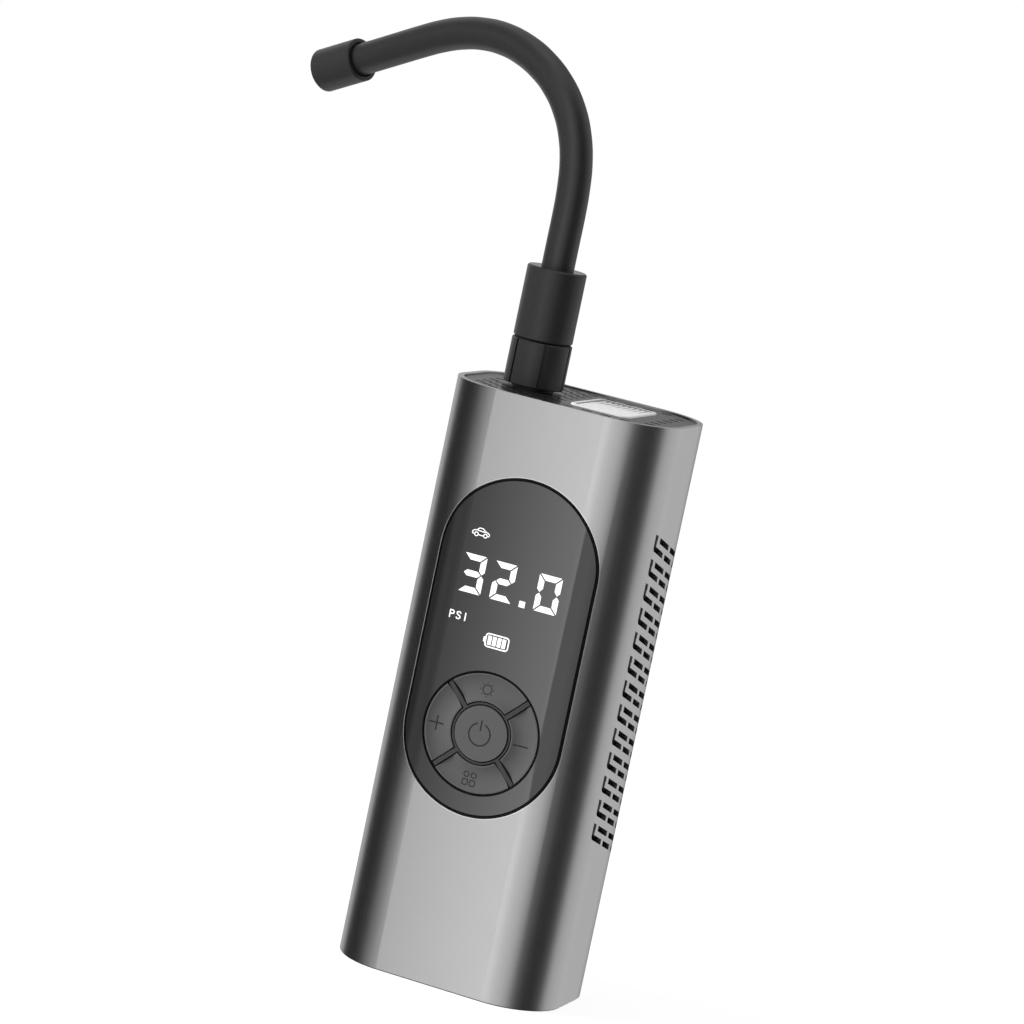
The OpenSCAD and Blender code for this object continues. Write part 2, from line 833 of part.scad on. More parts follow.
// Plate behind the window, with the display's and the keys' openings, the ring
// and bars between the keys, and the posts for the control board
module panel_carrier() {
  low = panel_z - panel_half - panel_r - carrier_lip - cut;
  high = panel_z + panel_half + panel_r + carrier_lip + cut;
  color("#2a2a2c")
    difference() {
      union() {
        intersection() {
          layer(layer_in, carrier_in, low, high);
          translate([0, 0, panel_z])
            from_front(-cut, corner_r)
              stadium(carrier_lip);
        }
        translate([0, 0, key_z])
          from_front(bezel_depth, carrier_in - 0.1) {
            intersection() {
              circle(key_r);
              key_bars(key_bar_w);
            }
            circle(key_ring_r);
          }
        for (sx = [-1, 1], z = [post_low, post_high])
          translate([sx * post_x, 0, z])
            from_front(carrier_in - 0.3, board_in) circle(post_r);
      }
      translate([0, 0, key_z])
        from_front(-cut, carrier_in + cut) {
          circle(key_ring_r - key_ring_wall);
          for (a = [0 : 90 : 270])
            key_outline(a, key_gap);
        }
      translate([0, 0, display_z])
        from_front(-cut, carrier_in + cut)
          square([display_w + 2 * display_gap, display_h + 2 * display_gap], center = true);
      for (sx = [-1, 1], z = [post_low, post_high])
        translate([sx * post_x, 0, z])
          from_front(board_in - screw_bite - 0.5, board_in + cut) circle(screw_r);
    }
}

// One outer key: a dished cap with a flange behind the carrier
module outer_key(angle) {
  dish_w = (key_r - key_in_r) / 2 - dish_rim;
  dish_r = (dish_w * dish_w + dish_depth * dish_depth) / (2 * dish_depth);
  reach = 2 * key_hole_r;
  color("#3a3a3c")
    translate([0, 0, key_z])
      difference() {
        union() {
          from_front(key_depth, flange_in + 0.1) key_outline(angle);
          from_front(flange_in, key_back)
            difference() {
              intersection() {
                circle(key_r + flange_w + key_gap);
                rotate(angle) polygon([[0, 0], [reach, -reach], [reach, reach]]);
              }
              circle(key_in_r + 0.2);
              key_bars(key_bar_w);
            }
        }
        translate([0, front_y + key_depth + dish_depth - dish_r, 0])
          rotate([90, 0, 0])
            rotate_extrude()
              translate([key_mid_r, 0]) circle(dish_r);
      }
}

module button_light() {
  outer_key(90);
}

module button_plus() {
  outer_key(180);
}

module button_minus() {
  outer_key(0);
}

module button_mode() {
  outer_key(270);
}

// Round key in the middle, with its flange
module button_power() {
  color("#454547")
    translate([0, 0, key_z]) {
      from_front(0, flange_in + 0.1) circle(power_r);
      from_front(flange_in, key_back) circle(key_ring_r);
    }
}

// Five tact switches under the keys
module tact_switches() {
  color("#1a1a1a")
    for (p = switch_places)
      translate([p[0], 0, key_z + p[1]]) {
        from_front(board_in - switch_h, board_in) square(switch_w, center = true);
        from_front(plunger_in, board_in - switch_h + 0.1) circle(plunger_r);
      }
}

// Display block behind the window
module display_module() {
  color("#101012")
    translate([0, 0, display_z])
      from_front(wall + display_gap, board_in)
        square([display_w, display_h], center = true);
}

// Board behind the panel, with its controller and a row of small parts
module control_board() {
  mid_z = (control_low + control_high) / 2;
  color("#0f5a34")
    difference() {
      union() {
        translate([0, 0, mid_z])
          from_front(board_in, board_back)
            round_rect(control_w, control_high - control_low, 2);
        translate([0, 0, display_z])
          from_front(board_back - 0.1, board_back + 1.2)
            square([9, 9], center = true);
        for (i = [-2 : 2])
          translate([5 * i, 0, display_z - 12])
            from_front(board_back - 0.1, board_back + 0.8)
              square([2, 1.2], center = true);
      }
      for (sx = [-1, 1], z = [post_low, post_high])
        translate([sx * post_x, 0, z])
          from_front(board_in - cut, board_back + cut) circle(screw_r + 0.2);
    }
}

// Four screws through the board into the carrier's posts
module board_screws() {
  color("silver")
    for (sx = [-1, 1], z = [post_low, post_high])
      translate([sx * post_x, 0, z]) {
        from_front(board_back, board_back + head_h) circle(head_r);
        from_front(board_in - screw_bite, board_back + head_h / 2) circle(screw_r - 0.05);
      }
}

// ---------------------------------------------------------------- power

// Power board in the chassis's guides, with three wire headers and three parts
module main_board() {
  y = main_y + board_t;
  color("#14503a") {
    span([-main_w / 2, main_y, main_z], [main_w / 2, y, main_top]);
    span([motor_x - header_w / 2, y - 0.1, main_top - header_h],
         [motor_x + header_w / 2, y + header_t, main_top]);
    for (sx = [-1, 1])
      translate([sx * lead_x, 0, 0])
        span([-header_w / 4, y - 0.1, lead_z - header_h], [header_w / 4, y + header_t, lead_z]);
    span([-chip_w / 2, y - 0.1, main_z + chip_up], [chip_w / 2, y + chip_t, main_z + chip_up + chip_h]);
    span([fuse_x, main_y - fuse_t, main_z + fuse_up],
         [fuse_x + fuse_w, main_y + 0.1, main_z + fuse_up + fuse_w]);
    span([coil_x, main_y - coil_t, main_z + coil_up],
         [coil_x + coil_w, main_y + 0.1, main_z + coil_up + coil_w]);
  }
}

// Charge socket on the front of the power board
module charge_port() {
  color("silver")
    translate([0, port_y, port_z])
      linear_extrude(port_len)
        difference() {
          round_rect(port_w, port_t, port_t / 2 - 0.05);
          round_rect(port_w - 0.7, port_t - 0.7, port_t / 2 - 0.4);
        }
}

module battery_cell(x) {
  color("#2f6fb0")
    translate([x, cell_y, 0])
      bar_z(cell_z, cell_top, cell_d / 2);
}

module battery_cell_left() {
  battery_cell(-cell_x);
}

module battery_cell_right() {
  battery_cell(cell_x);
}

// Open plastic cradle that holds both cells between its end plates
module cell_cradle() {
  half = cradle_w / 2 + cradle_t;
  color("#e8e4da")
    difference() {
      intersection() {
        translate([0, 0, base_z])
          linear_extrude(cradle_top - base_z) section(chassis_core + cradle_gap);
        union() {
          span([-half, cradle_near, base_z], [half, cradle_far, base_z + cradle_t]);
          span([-half, cradle_near, cradle_top - cradle_t], [half, cradle_far, cradle_top]);
          for (sx = [0, 1])
            mirror([sx, 0, 0])
              span([half - cradle_t, cradle_near, base_z], [half, cradle_far, cradle_top]);
        }
      }
      for (p = screw_places)
        translate([p[0], p[1], 0])
          bar_z(0, base_z + boss_h + cradle_gap, screw_boss_r + cradle_gap);
    }
}

// Nickel strips: one joins the cells below, two lead off above to a folded tongue
module cell_tabs() {
  color("lightgray") {
    span([-cell_x - strip_w / 2, cell_y - strip_w / 2, cell_z - tab_t],
         [cell_x + strip_w / 2, cell_y + strip_w / 2, cell_z]);
    for (sx = [-1, 1])
      translate([sx * cell_x, 0, 0]) {
        span([-strip_w / 2, strip_y, cell_top],
             [strip_w / 2, cell_y + strip_w / 2, cell_top + tab_t]);
        span([-strip_w / 2, strip_y - tab_t, cell_top - tongue_h],
             [strip_w / 2, strip_y, cell_top + tab_t]);
      }
  }
}

// Wire that leaves a terminal forwards and drops into a header below it
module wire_drop(start_y, start_z, end_z) {
  bend = start_y - header_y;
  translate([0, start_y, start_z - bend])
    rotate([0, -90, 0])
      rotate_extrude(angle = 90, start = 270)
        translate([bend, 0]) circle(wire_r);
  translate([0, header_y, end_z])
    cylinder(r = wire_r, h = start_z - bend - end_z);
}

// Two leads from the upper strips to the power board
module battery_leads() {
  color("firebrick")
    for (sx = [-1, 1])
      translate([sx * lead_x, 0, 0])
        wire_drop(strip_y - tab_t, cell_top - tongue_h / 2, lead_z);
}

// Two leads from the motor's lugs to the power board
module motor_leads() {
  color("gold")
    for (sx = [-1, 1])
      translate([motor_x + sx * header_w / 4, 0, 0])
        wire_drop(header_y + lug_reach, motor_z + end_cap_h / 2, main_top);
}

// ---------------------------------------------------------------- chassis

// Plastic frame: a floor, the back half of a tube, a shelf around the motor with
// four studs, the outlet's shelf, and two guides for the power board
module inner_chassis() {
  back = body_d / 2;
  color("#38383a")
    difference() {
      union() {
        translate([0, 0, chassis_z])
          linear_extrude(chassis_t) section(chassis_in);
        intersection() {
          layer(chassis_in, chassis_core, chassis_z, chassis_top);
          span([-body_w, 2, 0], [body_w, back, body_h]);
        }
        for (sx = [-1, 1])
          translate([sx * 10, 0, 0])
            span([-1.5, back - chassis_in - 0.5, chassis_z], [1.5, back - layer_in, chassis_top]);
        intersection() {
          translate([0, 0, shelf_z])
            linear_extrude(shelf_t) section(chassis_in + 0.5);
          span([-body_w, shelf_front, shelf_z], [manifold_right + 3, back, shelf_z + shelf_t]);
        }
        intersection() {
          translate([0, 0, damper_z - motor_shelf_t])
            linear_extrude(motor_shelf_t) section(chassis_in + 0.5);
          span([-body_w, shelf_front, 0], [body_w, back, damper_z]);
        }
        for (p = stud_places)
          translate([p[0], p[1], 0])
            bar_z(damper_z - 0.5, stud_top, stud_r);
        for (sx = [-1, 1])
          translate([sx * main_w / 2, 0, 0])
            span([-1.6, main_y - 1.5, chassis_z],
                 [1.6, main_y + board_t + 1.5, base_z + guide_h]);
        for (p = screw_places)
          translate([p[0], p[1], 0])
            bar_z(chassis_z, base_z + boss_h, screw_boss_r);
      }
      translate([motor_x, pump_y, 0])
        bar_z(damper_z - motor_shelf_t - cut, damper_z + cut, can_r + 0.8);
      span([cylinder_end - 1, 0, frame_z - 0.5], [body_w, pump_y + 12.5, tube_z + 14]);
      span([-main_w / 2 - 0.1, main_y - 0.1, main_z - 0.1],
           [main_w / 2 + 0.1, main_y + board_t + 0.1, base_z + guide_h + cut]);
      span([-port_w / 2 - 1, port_y - port_t / 2 - 0.5, 0],
           [port_w / 2 + 1, main_y, base_z + cut]);
      for (p = screw_places)
        translate([p[0], p[1], 0])
          bar_z(0, cover_screw_len + 0.8, screw_r);
    }
}

// ---------------------------------------------------------------- motor

// Steel can, closed above except for the shaft's hole
module motor_can() {
  color("silver")
    translate([motor_x, pump_y, 0])
      difference() {
        union() {
          bar_z(can_z, frame_z, can_r);
          bar_z(frame_z - cut, frame_z + 1.5, boss_r);
        }
        bar_z(can_z - cut, frame_z - can_wall - 1, can_r - can_wall);
        bar_z(can_z, frame_z + 2, shaft_r + 0.15);
        for (s = [-1, 1])
          translate([0, s * 8, 0])
            bar_z(frame_z - can_wall - 1.5, frame_z + cut, screw_r);
      }
}

// Plastic end cap under the can, with two lugs for the leads
module motor_end_cap() {
  color("whitesmoke")
    translate([motor_x, 0, 0])
      difference() {
        union() {
          translate([0, pump_y, 0]) bar_z(motor_z, can_z, can_r - 0.2);
          for (sx = [-1, 1])
            translate([sx * header_w / 4, 0, 0])
              span([-1.2, header_y + lug_reach, motor_z + 0.1], [1.2, pump_y - can_r + 3, can_z - 0.1]);
        }
        translate([0, pump_y, 0]) bar_z(motor_z + 0.6, can_z + cut, shaft_r + 0.15);
      }
}

// Two curved magnets on the inside of the can
module motor_magnets() {
  color("#3c3c3c")
    translate([motor_x, pump_y, magnet_z])
      linear_extrude(magnet_top - magnet_z)
        difference() {
          circle(can_r - can_wall);
          circle(can_r - can_wall - magnet_t);
          square([2.5 * can_r, magnet_slot], center = true);
        }
}

// Wound core and commutator on the shaft
module motor_armature() {
  color("peru")
    translate([motor_x, pump_y, 0])
      difference() {
        union() {
          bar_z(core_z, core_top, armature_r);
          bar_z((can_z + core_z) / 2, core_z + 0.5, collector_r);
        }
        bar_z(can_z, core_top + cut, shaft_r);
      }
}

module motor_shaft() {
  color("lightsteelblue")
    translate([motor_x, pump_y, 0])
      bar_z(motor_z + 0.8, gear_top + 0.4, shaft_r);
}

// Two screws that hold the motor to the pump frame
module motor_screws() {
  color("silver")
    for (s = [-1, 1])
      translate([motor_x, pump_y + s * 8, 0]) {
        bar_z(frame_top, frame_top + head_h, head_r);
        bar_z(frame_z - can_wall - 1, frame_top + head_h / 2, screw_r - 0.05);
      }
}

// ---------------------------------------------------------------- gears

// Polar angle of an involute's point at radius r
function involute_angle(base, r) =
  r <= base ? 0 : sqrt(pow(r / base, 2) - 1) * 180 / PI - acos(base / r);

function at_angle(r, a) = r * [cos(a), sin(a)];

// Spur gear outline with 20 degree involute flanks, thinned by the backlash.
// One tooth points along +X.
module gear_outline(teeth) {
  steps = 5;
  pitch_r = gear_m * teeth / 2;
  base = pitch_r * cos(20);
  root = pitch_r - dedendum;
  tip = pitch_r + addendum;
  half = 90 / teeth - backlash / 2 / pitch_r * 180 / PI + involute_angle(base, pitch_r);
  radii = [for (i = [0 : steps]) root + (tip - root) * i / steps];
  widths = [for (r = radii) half - involute_angle(base, r)];
  polygon([
    for (k = [0 : teeth - 1])
      each concat(
        [for (i = [0 : steps]) at_angle(radii[i], 360 * k / teeth - widths[i])],
        [for (i = [steps : -1 : 0]) at_angle(radii[i], 360 * k / teeth + widths[i])]
      )
  ]);
}

// Steel pinion pressed on the motor shaft, with a gap between teeth towards the gear
module drive_pinion() {
  color("lightsteelblue")
    translate([motor_x, pump_y, gear_z])
      linear_extrude(gear_w)
        difference() {
          rotate(180 + 180 / pinion_teeth) gear_outline(pinion_teeth);
          circle(shaft_r);
        }
}

// Crank gear with the crank pin's hole and a counterweight opposite to it
module crank_gear() {
  weight_r = gear_m * gear_teeth / 2 - 1.5;
  color("ivory")
    translate([gear_x, pump_y, 0])
      difference() {
        union() {
          translate([0, 0, gear_z])
            linear_extrude(gear_w) gear_outline(gear_teeth);
          translate([0, 0, gear_top - 0.1])
            linear_extrude(weight_h + 0.1)
              intersection() {
                difference() {
                  circle(weight_r);
                  circle(bush_r + 1);
                }
                polygon([[0, 0], 2 * [weight_r, -0.7 * weight_r], 2 * [weight_r, 0.7 * weight_r]]);
              }
        }
        bar_z(gear_z - cut, gear_top + cut, bush_r);
        translate([-crank_r, 0, 0])
          bar_z(gear_top - pin_in, gear_top + cut, pin_r);
      }
}

// Bronze bush in the gear
module gear_bush() {
  color("peru")
    translate([gear_x, pump_y, 0])
      difference() {
        bar_z(gear_z, gear_top, bush_r);
        bar_z(gear_z - cut, gear_top + cut, axle_r + axle_gap);
      }
}

// Fixed axle in the frame's plate, with a shoulder below the bush and a head above it
module gear_axle() {
  color("lightsteelblue")
    translate([gear_x, pump_y, 0]) {
      bar_z(frame_z, gear_top + 0.8, axle_r);
      bar_z(frame_top, gear_z - shoulder_gap, bush_r - 0.1);
      bar_z(gear_top + shoulder_gap, gear_top + 0.8, bush_r - 0.1);
    }
}

// Steel pin on the crank gear, under the connecting rod's eye
module crank_pin() {
  color("lightsteelblue")
    translate([pin_x, pump_y, 0])
      bar_z(gear_top - pin_in, gear_top + pin_up, pin_r);
}

// ---------------------------------------------------------------- pump

// Ring bearing in the connecting rod's eye
module rod_bearing() {
  color("silver")
    translate([pin_x, pump_y, 0])
      difference() {
        bar_z(rod_z, rod_z + rod_t, bearing_r);
        bar_z(rod_z - cut, rod_z + rod_t + cut, pin_r + axle_gap);
      }
}

// Connecting rod and piston in one piece
module piston_rod() {
  color("whitesmoke")
    translate([0, pump_y, 0])
      difference() {
        union() {
          translate([pin_x, 0, 0]) bar_z(rod_z, rod_z + rod_t, eye_r);
          span([pin_x, -rod_w / 2, rod_z], [piston_x + 0.5, rod_w / 2, rod_z + rod_t]);
          translate([0, 0, bore_z]) {
            bar_x(piston_x, piston_x + land_t, piston_r);
            bar_x(piston_x, piston_end, seal_core_r);
            bar_x(piston_end - land_t, piston_end, piston_r);
          }
        }
        translate([pin_x, 0, 0])
          bar_z(rod_z - cut, rod_z + rod_t + cut, bearing_r);
      }
}

// Seal ring between the piston's two lands
module piston_seal() {
  color("#202020")
    translate([0, pump_y, bore_z])
      difference() {
        bar_x(piston_x + land_t, piston_end - land_t, seal_r);
        bar_x(piston_x, piston_end, seal_core_r);
      }
}

module pump_cylinder() {
  color("silver")
    translate([0, pump_y, bore_z])
      difference() {
        bar_x(cylinder_x, cylinder_end, cylinder_r);
        bar_x(cylinder_x - cut, cylinder_end + cut, bore_r);
      }
}

// Outline of the cylinder head in Y and Z
module head_outline() {
  round_rect(head_side, head_side, head_r_out);
}

// Puts a copy at each of the head's four screws
module at_head_screws() {
  for (sy = [-1, 1], sz = [-1, 1])
    translate([0, pump_y + sy * head_screw, bore_z + sz * head_screw]) children();
}

// Die-cast plate over the motor with the block around the cylinder
module pump_frame() {
  color("silver")
    difference() {
      union() {
        intersection() {
          translate([0, 0, frame_z])
            linear_extrude(frame_t) section(chassis_core + 0.5);
          span([-body_w, shelf_front, 0], [cylinder_end, body_d, body_h]);
        }
        span([cylinder_end - block_len, pump_y - head_side / 2, frame_top - 0.5],
             [cylinder_end, pump_y + head_side / 2, bore_z + head_side / 2]);
      }
      translate([0, pump_y, bore_z])
        bar_x(cylinder_end - block_len - cut, cylinder_end + cut, cylinder_r);
      at_head_screws()
        bar_x(head_seat - head_screw_len, cylinder_end + cut, screw_r);
      translate([motor_x, pump_y, 0]) {
        bar_z(frame_z - cut, frame_top + cut, boss_r);
        for (s = [-1, 1])
          translate([0, s * 8, 0])
            bar_z(frame_z - cut, frame_top + cut, screw_r + 0.1);
      }
      translate([gear_x, pump_y, 0])
        bar_z(frame_z - cut, frame_top + cut, axle_r);
      for (p = stud_places)
        translate([p[0], p[1], 0])
          bar_z(frame_z - cut, frame_top + cut, stud_r + 0.3);
    }
}

// Four rubber rings between the chassis's shelf and the pump frame
module frame_dampers() {
  color("#202020")
    for (p = stud_places)
      translate([p[0], p[1], 0])
        difference() {
          bar_z(damper_z, frame_z, damper_r);
          bar_z(damper_z - cut, frame_z + cut, stud_r + 0.2);
        }
}

module head_gasket() {
  color("#8a3a2a")
    difference() {
      translate([0, pump_y, bore_z])
        along_x(cylinder_end, head_x)
          difference() {
            head_outline();
            circle(bore_r);
          }
      at_head_screws()
        bar_x(cylinder_end - cut, head_x + cut, screw_r + 0.2);
    }
}

// Head with the outlet port, the valve chamber and the nipple for the air tube
module cylinder_head() {
  color("silver")
    difference() {
      union() {
        translate([0, pump_y, bore_z])
          along_x(head_x, head_end) head_outline();
        translate([nipple_x, pump_y, 0])
          bar_z(bore_z + head_side / 2 - 0.5, tube_z + nipple_h, nipple_r);
      }
      translate([0, pump_y, bore_z]) {
        bar_x(head_x - cut, head_x + valve_wall + 0.1, port_r);
        bar_x(head_x + valve_wall, head_x + valve_wall + chamber_h, chamber_r);
      }
      translate([nipple_x, pump_y, 0])
        bar_z(bore_z + 1, tube_z + nipple_h + cut, nipple_air_r);
      at_head_screws() {
        bar_x(head_x - cut, head_end + cut, screw_r + 0.2);
        bar_x(head_seat, head_end + cut, head_r + 0.2);
      }
    }
}

// Thin flap that covers the outlet port inside the head
module outlet_valve_flap() {
  color("#b08050")
    translate([0, pump_y, bore_z])
      bar_x(head_x + valve_wall, head_x + valve_wall + flap_t, flap_r);
}

module head_screws() {
  color("silver")
    at_head_screws() {
      bar_x(head_seat, head_seat + head_h, head_r);
      bar_x(head_seat - head_screw_len, head_seat + 0.1, screw_r);
    }
}

// Path of the air tube: up from the head, one bend, then left to the manifold
module tube_path(r, over) {
  translate([nipple_x, pump_y, tube_z - over])
    cylinder(r = r, h = barb_z - tube_bend_r - tube_z + over);
  translate([nipple_x - tube_bend_r, pump_y, barb_z - tube_bend_r])
    rotate([90, 0, 0])
      rotate_extrude(angle = 90)
        translate([tube_bend_r, 0]) circle(r);
  translate([0, pump_y, barb_z])
    bar_x(manifold_right + 0.2 - over, nipple_x - tube_bend_r, r);
}

module air_tube() {
  color("#303030")
    difference() {
      tube_path(tube_r, 0);
      tube_path(tube_bore_r, cut);
    }
}

// ---------------------------------------------------------------- outlet

// V-shaped grooves that stand for the outlet's thread
module thread_grooves() {
  for (z = [body_h + 0.8 : thread_pitch : stem_top - 0.6])
    translate([0, 0, z])
      rotate_extrude()
        polygon([
          [stem_r - thread_depth, 0],
          [stem_r + 0.2, -thread_depth],
          [stem_r + 0.2, thread_depth]
        ]);
}

// Manifold block with the barb for the air tube and the threaded outlet stem
module outlet_manifold() {
  color("silver")
    difference() {
      union() {
        span([manifold_left, -manifold_half, manifold_z],
             [manifold_right, pump_y + manifold_half, stem_z]);
        translate([-outlet_x, 0, 0]) bar_z(stem_z - 0.5, stem_top, stem_r);
        translate([0, pump_y, barb_z])
          bar_x(manifold_right - 0.5, manifold_right + barb_len, nipple_r);
      }
      span([-outlet_x - chamber_half, -chamber_half, barb_z - chamber_half],
           [-outlet_x + chamber_half, pump_y + chamber_half, barb_z + chamber_half]);
      translate([-outlet_x, 0, 0]) {
        bar_z(barb_z, stem_top + cut, air_r);
        thread_grooves();
      }
      translate([0, pump_y, barb_z])
        bar_x(-outlet_x, manifold_right + barb_len + cut, insert_air_r);
      translate([0, 0, barb_z])
        bar_x(manifold_left - cut, -outlet_x, sensor_pin_r);
    }
}

// Sealing ring on the stem's end
module outlet_gasket() {
  color("#202020")
    translate([-outlet_x, 0, stem_top])
      linear_extrude(gasket_h)
        difference() {
          circle(stem_r - thread_depth);
          circle(air_r + 0.4);
        }
}

// Pressure sensor on the manifold's side, with its pin in the manifold
module pressure_sensor() {
  color("#202024") {
    span([manifold_left - sensor_t, -sensor_w / 2, barb_z - sensor_h / 2],
         [manifold_left, sensor_w / 2, barb_z + sensor_h / 2]);
    translate([0, 0, barb_z])
      bar_x(manifold_left - 0.5, manifold_left + 2.5, sensor_pin_r);
  }
}

// ---------------------------------------------------------------- lamp

// White lens in the top cover, held by a flange under it
module lamp_lens() {
  color("white")
    translate([lens_x, 0, 0]) {
      translate([0, 0, top_under_z - 0.1])
        linear_extrude(body_h - top_under_z + 0.1) round_rect(lens_w, lens_d, lens_r);
      translate([0, 0, top_under_z - lens_flange])
        linear_extrude(lens_flange) round_rect(lamp_w, lamp_d, lens_r + lens_rim);
    }
}

// Reflector tray between the lens and the lamp board
module lamp_tray() {
  color("whitesmoke")
    translate([lens_x, 0, tray_z])
      linear_extrude(tray_h)
        difference() {
          round_rect(lamp_w, lamp_d, lens_r + lens_rim);
          round_rect(lamp_w - 2 * tray_wall, lamp_d - 2 * tray_wall, lens_r + lens_rim - tray_wall);
        }
}

// Board with two rows of three lamps
module lamp_board() {
  color("#e8e8e0")
    translate([lens_x, 0, tray_z - lamp_board_t]) {
      linear_extrude(lamp_board_t) round_rect(lamp_w, lamp_d, lens_r + lens_rim);
      for (sx = [-1, 1], i = [-1 : 1])
        translate([sx * lens_w / 4, i * lens_d / 3.4, lamp_board_t - 0.1])
          linear_extrude(led_h + 0.1) square(led_w, center = true);
    }
}

// ---------------------------------------------------------------- hose

// Nut on the outlet's thread, with grip grooves
module hose_nut() {
  edge = 0.3;
  color("#343436")
    translate([-outlet_x, 0, nut_z])
      difference() {
        rotate_extrude()
          polygon([
            [0, 0], [nut_r - edge, 0], [nut_r, edge],
            [nut_r, nut_h - edge], [nut_r - edge, nut_h], [0, nut_h]
          ]);
        translate([0, 0, -cut])
          cylinder(r = stem_r + turn_gap, h = flange_z + swivel_h + turn_gap - nut_z + cut);
        cylinder(r = neck_r + turn_gap, h = nut_h + cut);
        for (k = [0 : groove_n - 1])
          rotate(groove_turn + 360 * k / groove_n)
            translate([nut_r - groove_depth, -groove_w / 2, -cut])
              cube([groove_depth + cut, groove_w, nut_h + 2 * cut]);
      }
}

// Collar that turns in the nut and carries the hose
module hose_collar() {
  edge = 0.4;
  color("#343436")
    translate([-outlet_x, 0, 0])
      rotate_extrude()
        polygon([
          [air_r, flange_z], [swivel_r, flange_z],
          [swivel_r, flange_z + swivel_h], [neck_r, flange_z + swivel_h],
          [neck_r, collar_z], [collar_r - edge, collar_z], [collar_r, collar_z + edge],
          [collar_r, collar_top - edge], [collar_r - edge, collar_top], [air_r, collar_top]
        ]);
}

// Direction of the hose at one point of its route
function hose_dir(i) =
  let (d = HOSE_ROUTE[min(i + 1, hose_last)] - HOSE_ROUTE[max(i - 1, 0)])
    d / norm(d);

// Point j of ring i on the hose's surface
function hose_point(i, j) =
  let (
    c = HOSE_ROUTE[i],
    d = hose_dir(i),
    out = hose_r * cos(360 * j / hose_sides),
    across = hose_r * sin(360 * j / hose_sides),
    reach = c[0] + out * d[1],
    side = arch_side * reach + arch_across * across
  )
    [side[0] - outlet_x, side[1], collar_top + c[1] - out * d[0]];

// Air hose, one sweep from the collar's top into the chuck
module hose_tube() {
  color("#161616")
    polyhedron(
      points = [for (i = [0 : hose_last], j = [0 : hose_sides - 1]) hose_point(i, j)],
      faces = concat(
        [[for (j = [0 : hose_sides - 1]) j]],
        [for (i = [0 : hose_last - 1], j = [0 : hose_sides - 1])
          let (k = (j + 1) % hose_sides, a = i * hose_sides, b = a + hose_sides)
            [a + j, b + j, b + k, a + k]],
        [[for (j = [hose_sides - 1 : -1 : 0]) hose_last * hose_sides + j]]
      )
    );
}

// Moves a piece drawn upwards from the chuck's hose side to the hose's end
module at_chuck() {
  translate([-outlet_x, 0, collar_top])
    rotate([0, 0, 180 - hose_turn])
      translate([hose_end[0], 0, hose_end[1]])
        rotate([0, 90 + hose_drop, 0])
          translate([0, 0, -hose_in]) children();
}

// Brass tail crimped in the hose, with a plate in the chuck and a valve needle
module chuck_insert() {
  color("gold")
    at_chuck() {
      difference() {
        union() {
          bar_z(hose_in, plate_z + 0.1, tail_r);
          bar_z(plate_z, seal_z, plate_r);
        }
        bar_z(hose_in - cut, seal_z - 0.5, insert_air_r);
        for (s = [-1, 1])
          translate([0, s * 0.9, 0]) bar_z(seal_z - 1, seal_z + cut, 0.35);
      }
      bar_z(seal_z - 0.4, seal_z + needle_len, needle_r);
    }
}

// Rubber seal on the plate, around the needle
module chuck_seal() {
  color("#202020")
    at_chuck()
      difference() {
        bar_z(seal_z, seal_z + seal_h, plate_r);
        bar_z(seal_z - cut, seal_z + seal_h + cut, seal_hole_r);
      }
}

// Sleeve that turns on the plate and screws onto a tyre valve
module chuck_sleeve() {
  edge = 0.3;
  inner_z = recess_h + web_h;
  seal_end = seal_z + seal_h + turn_gap;
  color("#343436")
    at_chuck()
      rotate_extrude()
        polygon([
          [recess_r, 0], [chuck_r - edge, 0], [chuck_r, edge],
          [chuck_r, chuck_len - edge], [chuck_r - edge, chuck_len], [mouth_r, chuck_len],
          [mouth_r, seal_end], [plate_r + turn_gap, seal_end],
          [plate_r + turn_gap, inner_z], [tail_r + turn_gap, inner_z],
          [tail_r + turn_gap, recess_h], [recess_r, recess_h]
        ]);
}

housing_sleeve();
top_cover();
bottom_cover();
cover_screws();
side_grille_left();
side_grille_right();
panel_window();
panel_carrier();
button_power();
button_light();
button_plus();
button_minus();
button_mode();
tact_switches();
display_module();
control_board();
board_screws();
main_board();
charge_port();
battery_cell_left();
battery_cell_right();
cell_cradle();
cell_tabs();
battery_leads();
inner_chassis();
motor_can();
motor_end_cap();
motor_magnets();
motor_armature();
motor_shaft();
drive_pinion();
motor_screws();
motor_leads();
crank_gear();
gear_bush();
gear_axle();
crank_pin();
rod_bearing();
piston_rod();
piston_seal();
pump_frame();
frame_dampers();
pump_cylinder();
head_gasket();
cylinder_head();
outlet_valve_flap();
head_screws();
air_tube();
outlet_manifold();
outlet_gasket();
pressure_sensor();
lamp_lens();
lamp_tray();
lamp_board();
hose_nut();
hose_collar();
hose_tube();
chuck_insert();
chuck_seal();
chuck_sleeve();
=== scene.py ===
# Portable tire inflator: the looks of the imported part. After the camera and the hose come the
# outer pieces, and then the inner ones that they hold.
import math

import bmesh
import bpy
from mathutils import Matrix, Vector


